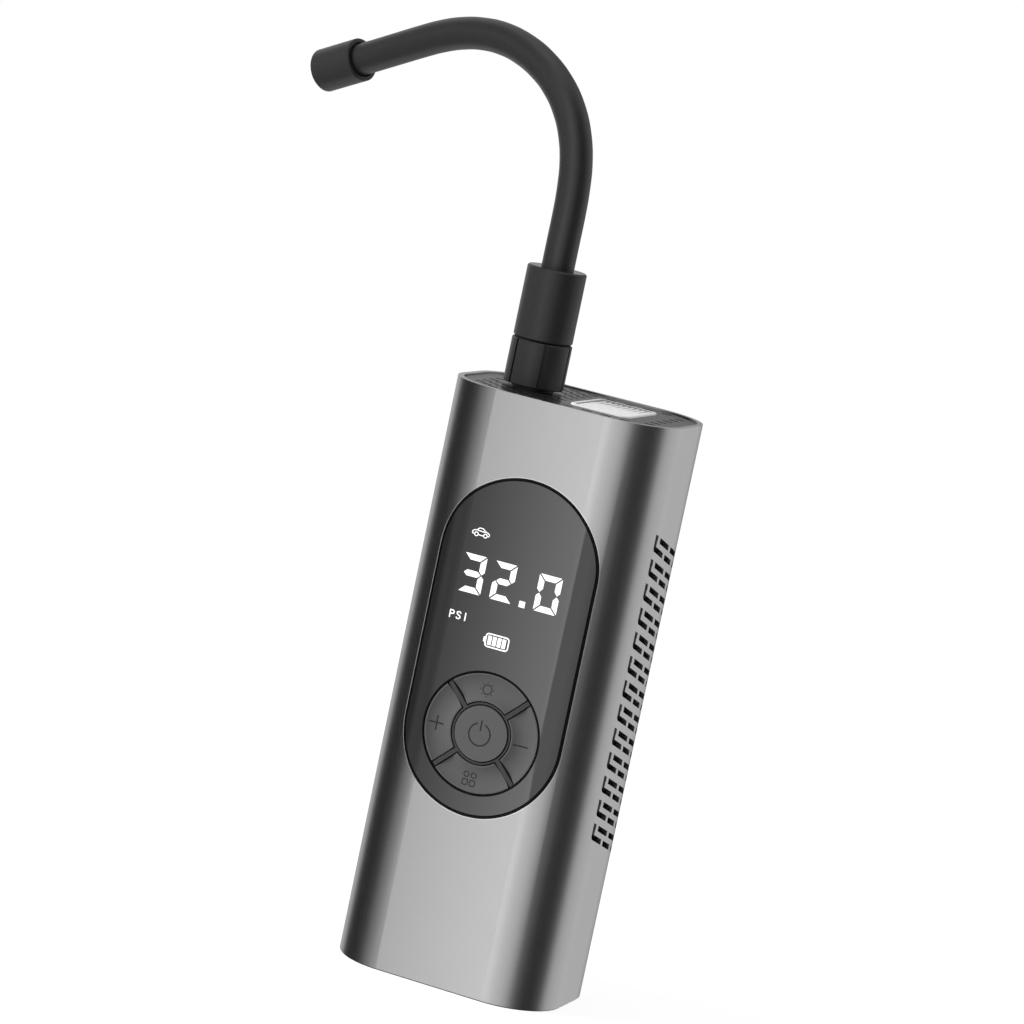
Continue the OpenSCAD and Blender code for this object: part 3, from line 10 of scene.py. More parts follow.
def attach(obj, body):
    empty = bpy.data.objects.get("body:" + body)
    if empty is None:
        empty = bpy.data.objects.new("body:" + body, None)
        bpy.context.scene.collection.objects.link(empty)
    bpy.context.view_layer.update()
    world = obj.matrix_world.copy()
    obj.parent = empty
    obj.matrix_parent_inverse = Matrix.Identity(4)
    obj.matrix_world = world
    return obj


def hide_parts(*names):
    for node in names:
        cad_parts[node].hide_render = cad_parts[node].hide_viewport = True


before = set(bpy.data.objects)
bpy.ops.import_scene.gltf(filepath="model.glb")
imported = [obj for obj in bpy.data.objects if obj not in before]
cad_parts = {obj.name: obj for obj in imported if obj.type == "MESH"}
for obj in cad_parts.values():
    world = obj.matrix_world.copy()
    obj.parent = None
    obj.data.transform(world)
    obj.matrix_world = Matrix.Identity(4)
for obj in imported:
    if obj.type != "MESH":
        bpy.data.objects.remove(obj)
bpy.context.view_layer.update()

# ---------------------------------------------------------------- camera
# A long lens a little to the right of the panel, tipped so that the body leans to the right.
# AIM is the middle of the body. Seen from the camera it lies AIM_AWAY ahead, AIM_RIGHT to the
# right and AIM_UP above the middle of the frame, in metres.
TURN, LIFT, TIP = math.radians(19.894), math.radians(8.519), math.radians(-11.853)
AIM = Vector((0, 0, 0.08))
AIM_AWAY, AIM_RIGHT, AIM_UP = 1.148, 0.002052, -0.047396

ahead = Vector((-math.sin(TURN) * math.cos(LIFT), math.cos(TURN) * math.cos(LIFT), -math.sin(LIFT)))
level = Vector((math.cos(TURN), math.sin(TURN), 0))
steep = level.cross(ahead)
right = level * math.cos(TIP) - steep * math.sin(TIP)
up = level * math.sin(TIP) + steep * math.cos(TIP)

camera = bpy.data.objects.new("camera", bpy.data.cameras.new("camera"))
camera.data.sensor_width = 36
camera.data.lens = 150.05
camera.matrix_world = Matrix((right, up, -ahead)).transposed().to_4x4()
camera.location = AIM - right * AIM_RIGHT - up * AIM_UP - ahead * AIM_AWAY
bpy.context.scene.collection.objects.link(camera)
bpy.context.scene.camera = camera


# ---------------------------------------------------------------- hose
# Bend-and-stay air hose, 8.9 mm thick: a stiff core under satin black rubber. It is crimped in
# the collar's top, arches over to the left and a little to the back, and ends in the chuck.
class Wire:
    """One value in a material. Python's operators on it add Math nodes."""

    def __init__(self, paint, socket):
        self.paint = paint
        self.socket = socket

    def maths(self, operation, first, second):
        return self.paint.node("ShaderNodeMath", {"operation": operation}, {0: first, 1: second})

    def __add__(self, other):
        return self.maths("ADD", self, other)

    def __sub__(self, other):
        return self.maths("SUBTRACT", self, other)

    def __rsub__(self, other):
        return self.maths("SUBTRACT", other, self)

    def __mul__(self, other):
        return self.maths("MULTIPLY", self, other)

    def __truediv__(self, other):
        return self.maths("DIVIDE", self, other)

    def __gt__(self, other):
        return self.maths("GREATER_THAN", self, other)

    def __lt__(self, other):
        return self.maths("LESS_THAN", self, other)

    __radd__ = __add__
    __rmul__ = __mul__


class Paint:
    """One material. Plain values go straight on its shader, and node() adds any other node."""

    def __init__(self, name, colour=None, rough=0.5, **plain):
        self.material = bpy.data.materials.new(name)
        self.material.use_nodes = True
        self.tree = self.material.node_tree
        self.shader = self.tree.nodes["Principled BSDF"]
        self.shader.inputs["Roughness"].default_value = rough
        if colour is not None:
            self.shader.inputs["Base Color"].default_value = (*colour, 1)
        for socket, value in plain.items():
            self.shader.inputs[socket.replace("_", " ")].default_value = value

    def node(self, kind, settings=None, inputs=None, out=0):
        made = self.tree.nodes.new(kind)
        for name, value in (settings or {}).items():
            if name == "stops":
                elements = made.color_ramp.elements
                for stop, (place, shade) in enumerate(value):
                    element = elements[stop] if stop < 2 else elements.new(place)
                    element.position = place
                    element.color = (shade, shade, shade, 1)
            else:
                setattr(made, name, value)
        for name, value in (inputs or {}).items():
            if isinstance(value, Wire):
                self.tree.links.new(value.socket, made.inputs[name])
            else:
                made.inputs[name].default_value = value
        return Wire(self, made.outputs[out])

    def feed(self, **wires):
        for name, wire in wires.items():
            self.tree.links.new(wire.socket, self.shader.inputs[name.replace("_", " ")])

    def place(self):
        """Where a point of the piece is, in metres."""
        return self.node("ShaderNodeTexCoord", out="Object")

    def grain(self, size, detail=2, rough=0.5, where=None):
        """Soft random grain of a size in metres, from 0 to 1."""
        inputs = {"Vector": where or self.place(), "Scale": 1 / size,
                  "Detail": detail, "Roughness": rough}
        return self.node("ShaderNodeTexNoise", inputs=inputs, out="Fac")

    def blend(self, share, first, second):
        """A colour between two, by a share."""
        inputs = {0: share, 6: (*first, 1), 7: (*second, 1)}
        return self.node("ShaderNodeMix", {"data_type": "RGBA"}, inputs, out=2)

    def relief(self, height, depth):
        """Bumps of a depth in metres where height goes from 0 to 1."""
        inputs = {"Height": height, "Distance": depth, "Strength": 1}
        self.feed(Normal=self.node("ShaderNodeBump", inputs=inputs))


def dress(paint, *nodes):
    """Gives CAD nodes a material."""
    for node in nodes:
        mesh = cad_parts[node].data
        mesh.materials.clear()
        mesh.materials.append(paint.material)


def deselect():
    for piece in bpy.context.selected_objects:
        piece.select_set(False)


def take(piece):
    """Makes a piece the only one selected."""
    deselect()
    piece.select_set(True)
    bpy.context.view_layer.objects.active = piece


MM = 0.001
HOSE_R = 4.45 * MM
OUTLET = Vector((-14 * MM, 0, 0))
COLLAR_TOP = 192.4 * MM
ARCH_TURN = math.radians(20)
ARCH_SIDE = Vector((-math.cos(ARCH_TURN), math.sin(ARCH_TURN), 0))
HOSE_ROUTE = [
    (0, 0), (0, 7.6), (0, 14.6), (0.3, 21.6), (1.3, 28.6), (3.6, 35.4),
    (7.5, 41.8), (12.9, 47.2), (19.4, 51.3), (27.2, 54.3), (35, 55.7),
    (42.4, 55.7), (50, 54.5), (57.4, 52.3), (64.4, 49.5), (71.4, 46.5),
    (77.9, 43.7), (85.9, 40.3),
]
hose_points = [OUTLET + ARCH_SIDE * reach * MM + Vector((0, 0, COLLAR_TOP + rise * MM))
               for reach, rise in HOSE_ROUTE]
hose_length = sum((b - a).length for a, b in zip(hose_points, hose_points[1:]))

line = bpy.data.curves.new("air_hose", "CURVE")
line.dimensions = "3D"
line.bevel_depth = HOSE_R
line.bevel_resolution = 10
line.use_fill_caps = True
spline = line.splines.new("BEZIER")
spline.bezier_points.add(len(hose_points) - 1)
for knot, point in zip(spline.bezier_points, hose_points):
    knot.co = point
    knot.handle_left_type = knot.handle_right_type = "AUTO"
spline.resolution_u = 8
hose = bpy.data.objects.new("air_hose", line)
bpy.context.scene.collection.objects.link(hose)

rubber = Paint("satin hose rubber", (0.03, 0.03, 0.0305), 0.38)
speckle = rubber.grain(0.35 * MM, 3)
patches = rubber.grain(9 * MM)
rubber.feed(
    Roughness=0.33 + patches * 0.08 + speckle * 0.1,
    Base_Color=rubber.blend(speckle, (0.022, 0.022, 0.0225), (0.038, 0.038, 0.0385)),
)
rubber.relief(speckle, 0.02 * MM)
hose.data.materials.append(rubber.material)
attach(hose, "hose")
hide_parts("hose_tube")
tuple(hose_points[0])

# ---------------------------------------------------------------- hose nut and collar
# The nut screws down on the outlet's stem, and the collar turns in it and carries the hose.
# Both are turned parts with a satin black finish, with six straight grip grooves in the nut.
def fitting_black(name, end_face):
    """Satin black turned metal that is smoother above the height of its end face."""
    paint = Paint(name, (0.034, 0.034, 0.035), 0.4, Specular_IOR_Level=0.35)
    turned = paint.grain(0.5 * MM, 2)
    height = paint.node("ShaderNodeSeparateXYZ", inputs={0: paint.place()}, out="Z")
    paint.feed(
        Roughness=0.36 + turned * 0.1 - (height > end_face) * 0.2,
        Base_Color=paint.blend(turned, (0.03, 0.03, 0.031), (0.038, 0.038, 0.039)),
    )
    paint.relief(paint.grain(0.16 * MM, 2), 0.004 * MM)
    return paint


# NO_END is a height above every piece, so that no face of it is an end face.
COLLAR_END, NO_END = COLLAR_TOP - 0.05 * MM, 1
dress(fitting_black("satin black collar", COLLAR_END), "hose_collar")
dress(fitting_black("satin black fitting", NO_END), "hose_nut", "chuck_sleeve")

# ---------------------------------------------------------------- chuck
# The sleeve turns on a crimped brass tail and screws onto a tyre valve. A soft ring seals the
# valve, and the tail's needle opens it.
brass = Paint("turned brass", (0.62, 0.42, 0.16), 0.3, Metallic=1)
brass.feed(Roughness=0.24 + brass.grain(0.4 * MM) * 0.12)
brass.relief(brass.grain(0.2 * MM), 0.004 * MM)
dress(brass, "chuck_insert")

soft_black = Paint("soft black rubber", (0.018, 0.018, 0.018), 0.62)
soft_black.feed(Roughness=0.56 + soft_black.grain(0.8 * MM) * 0.14)
soft_black.relief(soft_black.grain(0.3 * MM), 0.015 * MM)
dress(soft_black, "chuck_seal", "outlet_gasket", "piston_seal", "frame_dampers", "air_tube")

# ---------------------------------------------------------------- sleeve
# Extruded aluminium tube, blasted with fine beads and anodised grey. The panel's cut-out and
# the slanted vents are milled through its wall, and the cut-out's edge is bright from the tool.
aluminium = Paint("bead-blasted aluminium", (0.56, 0.56, 0.565), 0.33, Metallic=1)
beads = aluminium.grain(0.22 * MM, 3, 0.6)
cloud = aluminium.grain(6 * MM)
aluminium.feed(
    Roughness=0.3 + beads * 0.05 + cloud * 0.03,
    Base_Color=aluminium.blend(beads, (0.49, 0.49, 0.495), (0.57, 0.57, 0.575)),
)
aluminium.relief(beads, 0.006 * MM)
dress(aluminium, "housing_sleeve")

BODY_HALF, FRONT, CORNER_R = 32 * MM, -23 * MM, 16.5 * MM
PANEL_R, PANEL_HALF, PANEL_Z, PANEL_GAP = 22.35 * MM, 23.2 * MM, 93.2 * MM, 0.35 * MM
PANEL_STEPS, WELD = 48, 1e-7


def sleeve_y(x):
    """The depth of the sleeve's front surface at a distance from its middle."""
    into = max(abs(x) - (BODY_HALF - CORNER_R), 0)
    return FRONT + CORNER_R - math.sqrt(CORNER_R ** 2 - into ** 2)


def piece_of(name, shape, paint, body="base"):
    """Ends a mesh that is being built: its faces turn outwards, and it rides on a body."""
    bmesh.ops.recalc_face_normals(shape, faces=shape.faces)
    mesh = bpy.data.meshes.new(name)
    shape.to_mesh(mesh)
    shape.free()
    mesh.materials.append(paint.material)
    made = bpy.data.objects.new(name, mesh)
    bpy.context.scene.collection.objects.link(made)
    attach(made, body)
    return made


def mesh_piece(name, points, faces, paint):
    """A piece from points and faces, with its doubled points welded."""
    shape = bmesh.new()
    corners = [shape.verts.new(point) for point in points]
    for face in faces:
        shape.faces.new([corners[at] for at in face])
    bmesh.ops.remove_doubles(shape, verts=shape.verts, dist=WELD)
    return piece_of(name, shape, paint)


def smooth(piece, degrees):
    """Shades a piece smooth, apart from its edges over an angle."""
    take(piece)
    bpy.ops.object.shade_smooth_by_angle(angle=math.radians(degrees))


def swept_ring(name, path, profile, paint):
    """A closed ring along a path: the profile gives each corner as (outwards, proud)."""
    corners = len(profile)
    points = [place(out, proud) for place in path for out, proud in profile]
    faces = []
    for row in range(0, len(points), corners):
        for k in range(corners):
            a, b = row + k, row + (k + 1) % corners
            faces.append((a, b, (b + corners) % len(points), (a + corners) % len(points)))
    smooth(mesh_piece(name, points, faces, paint), 35)


def panel_path():
    """Places round the panel's outline, each a function of the distance outwards and proud."""
    made = []
    for end in (1, -1):
        for k in range(PANEL_STEPS + 1):
            angle = math.pi * k / PANEL_STEPS + (0 if end > 0 else math.pi)
            side, rise = math.cos(angle), math.sin(angle)

            def place(out, proud, side=side, rise=rise, end=end):
                x = side * (PANEL_R + out)
                z = PANEL_Z + end * PANEL_HALF + rise * (PANEL_R + out)
                return Vector((x, sleeve_y(x) - proud, z))
            made.append(place)
    return made


bright_edge = Paint("tool-bright aluminium edge", (0.72, 0.72, 0.725), 0.22, Metallic=1)
bright_edge.feed(Roughness=0.18 + bright_edge.grain(0.3 * MM) * 0.1)
bright_edge.relief(bright_edge.grain(0.15 * MM), 0.002 * MM)
EDGE_IN, EDGE_TURN, EDGE_OUT = PANEL_GAP - 0.04 * MM, PANEL_GAP + 0.06 * MM, PANEL_GAP + 0.2 * MM
EDGE_FOOT, EDGE_BREAK, EDGE_TOP = -0.3 * MM, -0.06 * MM, 0.02 * MM
swept_ring("cutout_edge", panel_path(), [
    (EDGE_IN, EDGE_FOOT), (EDGE_IN, EDGE_BREAK), (EDGE_TURN, EDGE_TOP),
    (EDGE_OUT, EDGE_TOP), (EDGE_OUT, EDGE_FOOT),
], bright_edge)

# ---------------------------------------------------------------- covers
# Injection-moulded black covers. The top one is smooth; inside its slots it is rougher and painted
# near black as painted shade. The bottom one has a fine spark texture, the charge socket and four
# screws with sunk heads.
COVER_TOP, SLOT_FROM = 159.6 * MM, 0.03 * MM
cover_black = Paint("smooth black plastic", (0.03, 0.03, 0.0305), 0.3, Specular_IOR_Level=0.4)
sheen = cover_black.grain(0.3 * MM, 3)
height = cover_black.node("ShaderNodeSeparateXYZ", inputs={0: cover_black.place()}, out="Z")
in_slot = height < COVER_TOP - SLOT_FROM
cover_black.feed(
    Roughness=0.26 + sheen * 0.08 + in_slot * 0.5,
    # Below the top face, in the slots, the colour drops to near black: painted shade.
    Base_Color=cover_black.blend(
        (0.7 + sheen * 0.3) * (1 - in_slot), (0.003, 0.003, 0.003), (0.034, 0.034, 0.0345)),
)
cover_black.relief(sheen, 0.004 * MM)
dress(cover_black, "top_cover")

spark = Paint("textured black plastic", (0.04, 0.04, 0.0405), 0.55)
pits = spark.grain(0.3 * MM, 3)
spark.feed(
    Roughness=0.48 + pits * 0.16,
    Base_Color=spark.blend(pits, (0.034, 0.034, 0.0345), (0.046, 0.046, 0.0465)),
)
spark.relief(pits, 0.02 * MM)
dress(spark, "bottom_cover")


def grained(name, colour, rough, size, depth, **plain):
    """A material whose colour, gloss and surface vary with a grain of one size."""
    paint = Paint(name, colour, rough, **plain)
    fine = paint.grain(size, 3)
    broad = paint.grain(9 * size)
    darker = tuple(0.9 * part for part in colour)
    lighter = tuple(min(1.08 * part, 0.9) for part in colour)
    paint.feed(Roughness=rough - 0.06 + fine * 0.08 + broad * 0.04,
               Base_Color=paint.blend(fine, darker, lighter))
    paint.relief(fine, depth)
    return paint


steel = grained("zinc-plated steel", (0.5, 0.5, 0.5), 0.32, 0.4 * MM, 0.004 * MM, Metallic=1)
dress(steel, "cover_screws", "board_screws", "motor_screws", "head_screws", "charge_port")

# ---------------------------------------------------------------- grilles
# Two black moulded plates, one behind each side's vents and open where they are, so that air
# passes and the slits look dark.
grille_black = grained("black grille plastic", (0.012, 0.012, 0.0125), 0.7, 0.4 * MM, 0.015 * MM)
dress(grille_black, "side_grille_left", "side_grille_right")

# ---------------------------------------------------------------- window
# Smoked acrylic window, flush with the sleeve, over the display and the keys' opening. A thin
# black ring on its edge is painted shade for the gap to the sleeve. The dark grey carrier behind it
# makes the ring and bars between the keys.
smoke = Paint("smoked acrylic", (0.019, 0.019, 0.02), 0.07, IOR=1.5, Specular_IOR_Level=1.0)
smoke.feed(Roughness=0.05 + smoke.grain(14 * MM) * 0.04)
smoke.relief(smoke.grain(7 * MM), 0.002 * MM)
dress(smoke, "panel_window")

# A matt black ring on the window's edge, and one in the keys' seam, stand in for the shade in these
# gaps: painted shade.
gap_shade_black = grained("black painted gap shade", (0.003, 0.003, 0.003), 0.6, 0.4 * MM, 0.003 * MM,
                       Specular_IOR_Level=0.1)
BORDER_IN, BORDER_OUT, BORDER_FOOT, BORDER_TOP = -0.5 * MM, -0.02 * MM, -0.1 * MM, 0.012 * MM
swept_ring("window_edge_shade", panel_path(), [
    (BORDER_IN, BORDER_FOOT), (BORDER_IN, BORDER_TOP),
    (BORDER_OUT, BORDER_TOP), (BORDER_OUT, BORDER_FOOT),
], gap_shade_black)

matt_black = grained("matt black plastic", (0.03, 0.03, 0.031), 0.6, 0.4 * MM, 0.012 * MM)
dress(matt_black, "inner_chassis")
carrier_grey = grained("dark grey carrier", (0.055, 0.055, 0.056), 0.6, 0.4 * MM, 0.012 * MM)
dress(carrier_grey, "panel_carrier")

# ---------------------------------------------------------------- display
# White segments and signs of the display, lit from behind and set flush in the window's face:
# the digits, the unit, a car and a full battery with four bars.
lit_white = Paint("lit display segment", (0.75, 0.75, 0.75), 0.4, Emission_Strength=0.8)
lit_white.feed(Emission_Color=lit_white.blend(lit_white.grain(2 * MM), (0.93, 0.93, 0.93), (1, 1, 1)))
SIGN_PROUD, SIGN_SUNK = 0.02 * MM, 0.1 * MM


def front_surface(x, z, proud):
    return Vector((x, sleeve_y(x) - proud, z))


def sign(name, shapes, paint, body, surface=front_surface, proud=SIGN_PROUD):
    """Raised plates or lines: each shape is a list of faces in millimetres, in X and Z."""
    shape = bmesh.new()
    for faces in shapes:
        corners, flat = {}, []
        for face in faces:
            places = [(round(x, 5), round(z, 5)) for x, z in face]
            for x, z in places:
                if (x, z) not in corners:
                    corners[x, z] = shape.verts.new(surface(x * MM, z * MM, proud))
            flat.append(shape.faces.new([corners[place] for place in places]))
        for part in bmesh.ops.extrude_face_region(shape, geom=flat)["geom"]:
            if isinstance(part, bmesh.types.BMVert):
                part.co.y += proud + SIGN_SUNK
    piece_of(name, shape, paint, body)


MITRE_LEAST, CORNER_STEPS = 0.4, 4


def stroke(points, width, closed=False):
    """The faces of a flat line along points. MITRE_LEAST keeps its sharp corners short."""
    count = len(points)
    last = count if closed else count - 1
    rails = []
    for k in range(count):
        here = Vector(points[k])
        sides = []
        if closed or k > 0:
            sides.append((here - Vector(points[k - 1])).normalized())
        if k < last:
            sides.append((Vector(points[(k + 1) % count]) - here).normalized())
        normals = [Vector((-side.y, side.x)) for side in sides]
        mitre = sum(normals, Vector((0, 0))).normalized()
        reach = width / 2 / max(mitre.dot(normals[0]), MITRE_LEAST)
        rails.append((tuple(here + mitre * reach), tuple(here - mitre * reach)))
    steps = [(rails[k], rails[(k + 1) % count]) for k in range(last)]
    return [[here[0], here[1], after[1], after[0]] for here, after in steps]


def arc(x, z, radius, start, end, steps):
    """Points of an arc, with angles in degrees from +X towards +Z."""
    turns = [math.radians(start + (end - start) * k / steps) for k in range(steps + 1)]
    return [(x + radius * math.cos(turn), z + radius * math.sin(turn)) for turn in turns]


def circle(x, z, radius, width, steps=28):
    return stroke(arc(x, z, radius, 0, 360, steps)[:-1], width, closed=True)


def box(low_x, low_z, high_x, high_z):
    return [[(low_x, low_z), (high_x, low_z), (high_x, high_z), (low_x, high_z)]]


def rounded(low_x, low_z, high_x, high_z, radius):
    """Points round a rectangle with round corners."""
    spots = ((high_x - radius, high_z - radius, 0), (low_x + radius, high_z - radius, 90),
             (low_x + radius, low_z + radius, 180), (high_x - radius, low_z + radius, 270))
    return [spot for x, z, turn in spots
            for spot in arc(x, z, radius, turn, turn + 90, CORNER_STEPS)]


def segments(low_x, low_z, high_x, high_z, lit):
    """The lit segments of one digit: a to g, clockwise from the top, g in the middle."""
    bar, slit, point, shoulder, notch, blunt = 1.6, 0.27, 0.77, 0.9, 0.2, 0.5
    middle = (low_z + high_z) / 2

    def upper(x, way):
        return [(x, high_z - slit), (x, middle + shoulder), (x - way * point, middle + slit / 2),
                (x - way * bar, middle + shoulder + notch), (x - way * bar, high_z - bar - slit)]

    def flip(points):
        return [(x, 2 * middle - z) for x, z in points]

    top = [(low_x, high_z), (high_x - slit, high_z), (high_x - bar - slit, high_z - bar),
           (low_x + bar + slit / 4, high_z - bar)]
    if "f" in lit:
        top[0], top[3] = (low_x + slit, high_z), (low_x + bar + slit, high_z - bar)
    left = low_x + (point + slit if "e" in lit else blunt)
    right = high_x - point - slit
    across = [(left, middle), (left + shoulder, middle + bar / 2), (right - shoulder, middle + bar / 2),
              (right, middle), (right - shoulder, middle - bar / 2), (left + shoulder, middle - bar / 2)]
    bottom = flip(top)
    if "e" in lit:
        bottom[0], bottom[3] = (low_x + slit, low_z), (low_x + bar + slit, low_z + bar)
    if "c" not in lit:
        bottom[1], bottom[2] = (high_x, low_z), (high_x - bar - slit / 4, low_z + bar)
    shapes = {"a": top, "b": upper(high_x, 1), "c": flip(upper(high_x, 1)), "d": bottom,
              "e": flip(upper(low_x, -1)), "f": upper(low_x, -1), "g": across}
    return [[shapes[letter]] for letter in lit]


# Edges are left, low, right and high, and points are X and Z, all in millimetres.
DIGITS = [
    ((-14.45, 105.7, -8.15, 116.05), "abcdg"),
    ((-5.55, 105.7, 0.6, 116.0), "abdeg"),
    ((7.08, 105.75, 13.65, 115.8), "abcdef"),
]
DIGIT_POINT = (3.0, 105.55, 4.69, 107.24)
display = [segment for edges, letters in DIGITS for segment in segments(*edges, letters)]
display.append(box(*DIGIT_POINT))

UNIT_LINE, UNIT_LOW, UNIT_HIGH = 0.32, 98.05, 100.25
P_STEM, I_STEM = (-15.55, -15.22), (-11.15, -10.8)
P_BOWL = [
    (P_STEM[1], 100.09), (-14.65, 100.09), (-14.32, 99.85),
    (-14.32, 99.42), (-14.65, 99.18), (P_STEM[1], 99.18),
]
S_LINE = [
    (-12.32, 99.7), (-12.5, 100.0), (-12.95, 100.1), (-13.4, 99.9), (-13.4, 99.5), (-12.95, 99.22),
    (-12.45, 98.92), (-12.4, 98.5), (-12.8, 98.22), (-13.25, 98.25), (-13.55, 98.6),
]
display += [box(left, UNIT_LOW, right, UNIT_HIGH) for left, right in (P_STEM, I_STEM)]
display += [stroke(points, UNIT_LINE) for points in (P_BOWL, S_LINE)]

BATTERY, BATTERY_R, BATTERY_LINE = (-4.05, 93.1, 2.45, 96.6), 0.75, 0.36
BATTERY_TIP = [(-4.72, 94.2), (-4.25, 94.1), (-4.25, 95.6), (-4.72, 95.5)]
BAR_N, BAR_X, BAR_PITCH, BAR_W, BAR_LOW, BAR_HIGH = 4, -3.47, 1.377, 1.07, 93.6, 96.1
display.append(stroke(rounded(*BATTERY, BATTERY_R), BATTERY_LINE, closed=True))
display.append([BATTERY_TIP])
for left in (BAR_X + BAR_PITCH * k for k in range(BAR_N)):
    display.append(box(left, BAR_LOW, left + BAR_W, BAR_HIGH))
sign("display_digits", display, lit_white, "base")

CAR_LINE, CAR_STEP, WHEEL_X, WHEEL_Z, WHEEL_R = 0.24, 0.004 * MM, (-12.66, -10.06), 121.46, 0.5
CAR_BODY = [
    (-13.3, 121.4), (-13.8, 121.5), (-13.88, 121.9), (-13.5, 122.38), (-12.65, 122.55), (-12.05, 123.2),
    (-11.02, 123.2), (-10.05, 122.5), (-9.25, 122.25), (-8.97, 122.0), (-9.08, 121.5), (-9.42, 121.4),
]
CAR_BELT = [(-12.5, 122.5), (-10.2, 122.38)]
CAR_SILL = [(-12.02, 121.36), (-10.7, 121.32)]
car = [stroke(points, CAR_LINE) for points in (CAR_BODY, CAR_BELT, CAR_SILL)]
car += [circle(x, WHEEL_Z, WHEEL_R, CAR_LINE, 20) for x in WHEEL_X]
for number, part in enumerate(car):
    sign("display_car_%d" % (number + 1), [part], lit_white, "base",
         proud=SIGN_PROUD + CAR_STEP * number)

# ---------------------------------------------------------------- keys
# Five moulded keys with a soft-touch finish: a round power key and four dished quarters, each
# with its sign printed darker: a sun, plus, minus, four small shapes, and the power sign.
key_coat = grained("soft-touch key plastic", (0.13, 0.13, 0.132), 0.5, 0.3 * MM, 0.004 * MM,
                   Specular_IOR_Level=0.3)
dress(key_coat, "button_power", "button_light", "button_plus", "button_minus", "button_mode")

key_print = grained("dark key print", (0.02, 0.02, 0.0205), 0.6, 0.2 * MM, 0.003 * MM)
PAD_Z, SEAM_R, SEAM_LINE = 70, 16.62, 0.3
DISH_MIDDLE, DISH_R, DISH_FRONT = 12.375 * MM, 6.778 * MM, -28.78 * MM


def dish_surface(x, z, proud):
    """The bottom of the hollow that runs round the four outer keys."""
    away = math.hypot(x, z - PAD_Z * MM)
    return Vector((x, DISH_FRONT + math.sqrt(DISH_R ** 2 - (away - DISH_MIDDLE) ** 2) - proud, z))


def fine_line(x, z, to_x, to_z, width, pieces=8):
    """A straight line cut in short pieces, so that it follows a hollow."""
    return stroke([(x + (to_x - x) * k / pieces, z + (to_z - z) * k / pieces)
                   for k in range(pieces + 1)], width)


SIGN_LINE, THIN_LINE = 0.4, 0.28
# The black ring round the keys' pad is painted shade in their seam.
sign("key_pad_seam", [circle(0, PAD_Z, SEAM_R, SEAM_LINE, 72)], gap_shade_black, "base")

SUN_X, SUN_Z, SUN_R = -1.0, 81.75, 1.26
RAY_N, RAY_TURN, RAY_FROM, RAY_TO = 8, 4, 1.72, 2.06
sun = [circle(SUN_X, SUN_Z, SUN_R, THIN_LINE)]
for ray in (math.radians(360 / RAY_N * k + RAY_TURN) for k in range(RAY_N)):
    side, rise = math.cos(ray), math.sin(ray)
    sun.append(fine_line(SUN_X + RAY_FROM * side, SUN_Z + RAY_FROM * rise,
                         SUN_X + RAY_TO * side, SUN_Z + RAY_TO * rise, THIN_LINE, 2))
sign("sign_light", sun, key_print, "key_light", dish_surface)

PLUS_X, MINUS_X, SIGN_Z, SIGN_HALF = -13.1, 11.4, 69.5, 2.0
PLUS_SLIT = 0.005
above = SIGN_Z + SIGN_LINE / 2 + PLUS_SLIT
below = SIGN_Z - SIGN_LINE / 2 - PLUS_SLIT
sign("sign_plus", [
    fine_line(PLUS_X - SIGN_HALF, SIGN_Z, PLUS_X + SIGN_HALF, SIGN_Z, SIGN_LINE),
    fine_line(PLUS_X, above, PLUS_X, SIGN_Z + SIGN_HALF, SIGN_LINE),
    fine_line(PLUS_X, below, PLUS_X, SIGN_Z - SIGN_HALF, SIGN_LINE),
], key_print, "key_plus", dish_surface)
sign("sign_minus", [fine_line(MINUS_X - SIGN_HALF, SIGN_Z, MINUS_X + SIGN_HALF, SIGN_Z, SIGN_LINE)],
     key_print, "key_minus", dish_surface)

MODE_X, MODE_HIGH, MODE_LOW, MODE_R, MODE_CORNER = (-1.92, 0.18), 58.33, 56.2, 0.72, 0.3
modes = [circle(x, MODE_HIGH, MODE_R, THIN_LINE, 20) for x in MODE_X]
for x in MODE_X:
    edges = (x - MODE_R, MODE_LOW - MODE_R, x + MODE_R, MODE_LOW + MODE_R)
    modes.append(stroke(rounded(*edges, MODE_CORNER), THIN_LINE, closed=True))
sign("sign_mode", modes, key_print, "key_mode", dish_surface)

POWER_X, POWER_Z, POWER_R, POWER_FROM, POWER_TO = -0.3, 69.7, 3.03, 110.5, 430.5
POWER_BAR = (-0.5, 70.6, -0.1, 73.57)
power_ring = stroke(arc(POWER_X, POWER_Z, POWER_R, POWER_FROM, POWER_TO, 40), SIGN_LINE)
sign("sign_power", [power_ring, box(*POWER_BAR)], key_print, "key_power")

# ---------------------------------------------------------------- lamp
# Opal lens in the top cover. Its raised rim frames a shallow field of nine ribs that run from
# front to back and end in rows of small prisms. The tray and the lamps' board are under it.
# The lens glows faintly; this glow is painted light that lifts its white.
opal = grained("opal lens", (0.8, 0.8, 0.8), 0.28, 0.8 * MM, 0.004 * MM, Emission_Strength=0.28)
opal.feed(Emission_Color=opal.blend(opal.grain(3 * MM), (0.8, 0.8, 0.8), (1, 1, 1)))
LENS_X, LENS_W, LENS_D, LENS_R, LEAST_R = 9.7, 17.0, 25.0, 2.4, 0.4
LENS_TOP, LENS_LOW, FLANGE_LOW, FIELD = 160.0, 157.0, 156.0, 159.55
FLANGE_OUT, COVER_GAP, RIM_BREAK, RIM_W, WALL_LEAN = 1.2, 0.02, 0.15, 1.1, 0.15


def lens_outline(inset, height):
    """Points of the lens's outline in metres, inset by millimetres, at a height."""
    half_w, half_d, radius = LENS_W / 2 - inset, LENS_D / 2 - inset, max(LENS_R - inset, LEAST_R)
    flat = rounded(LENS_X - half_w, -half_d, LENS_X + half_w, half_d, radius)
    return [Vector((x * MM, y * MM, height * MM)) for x, y in flat]


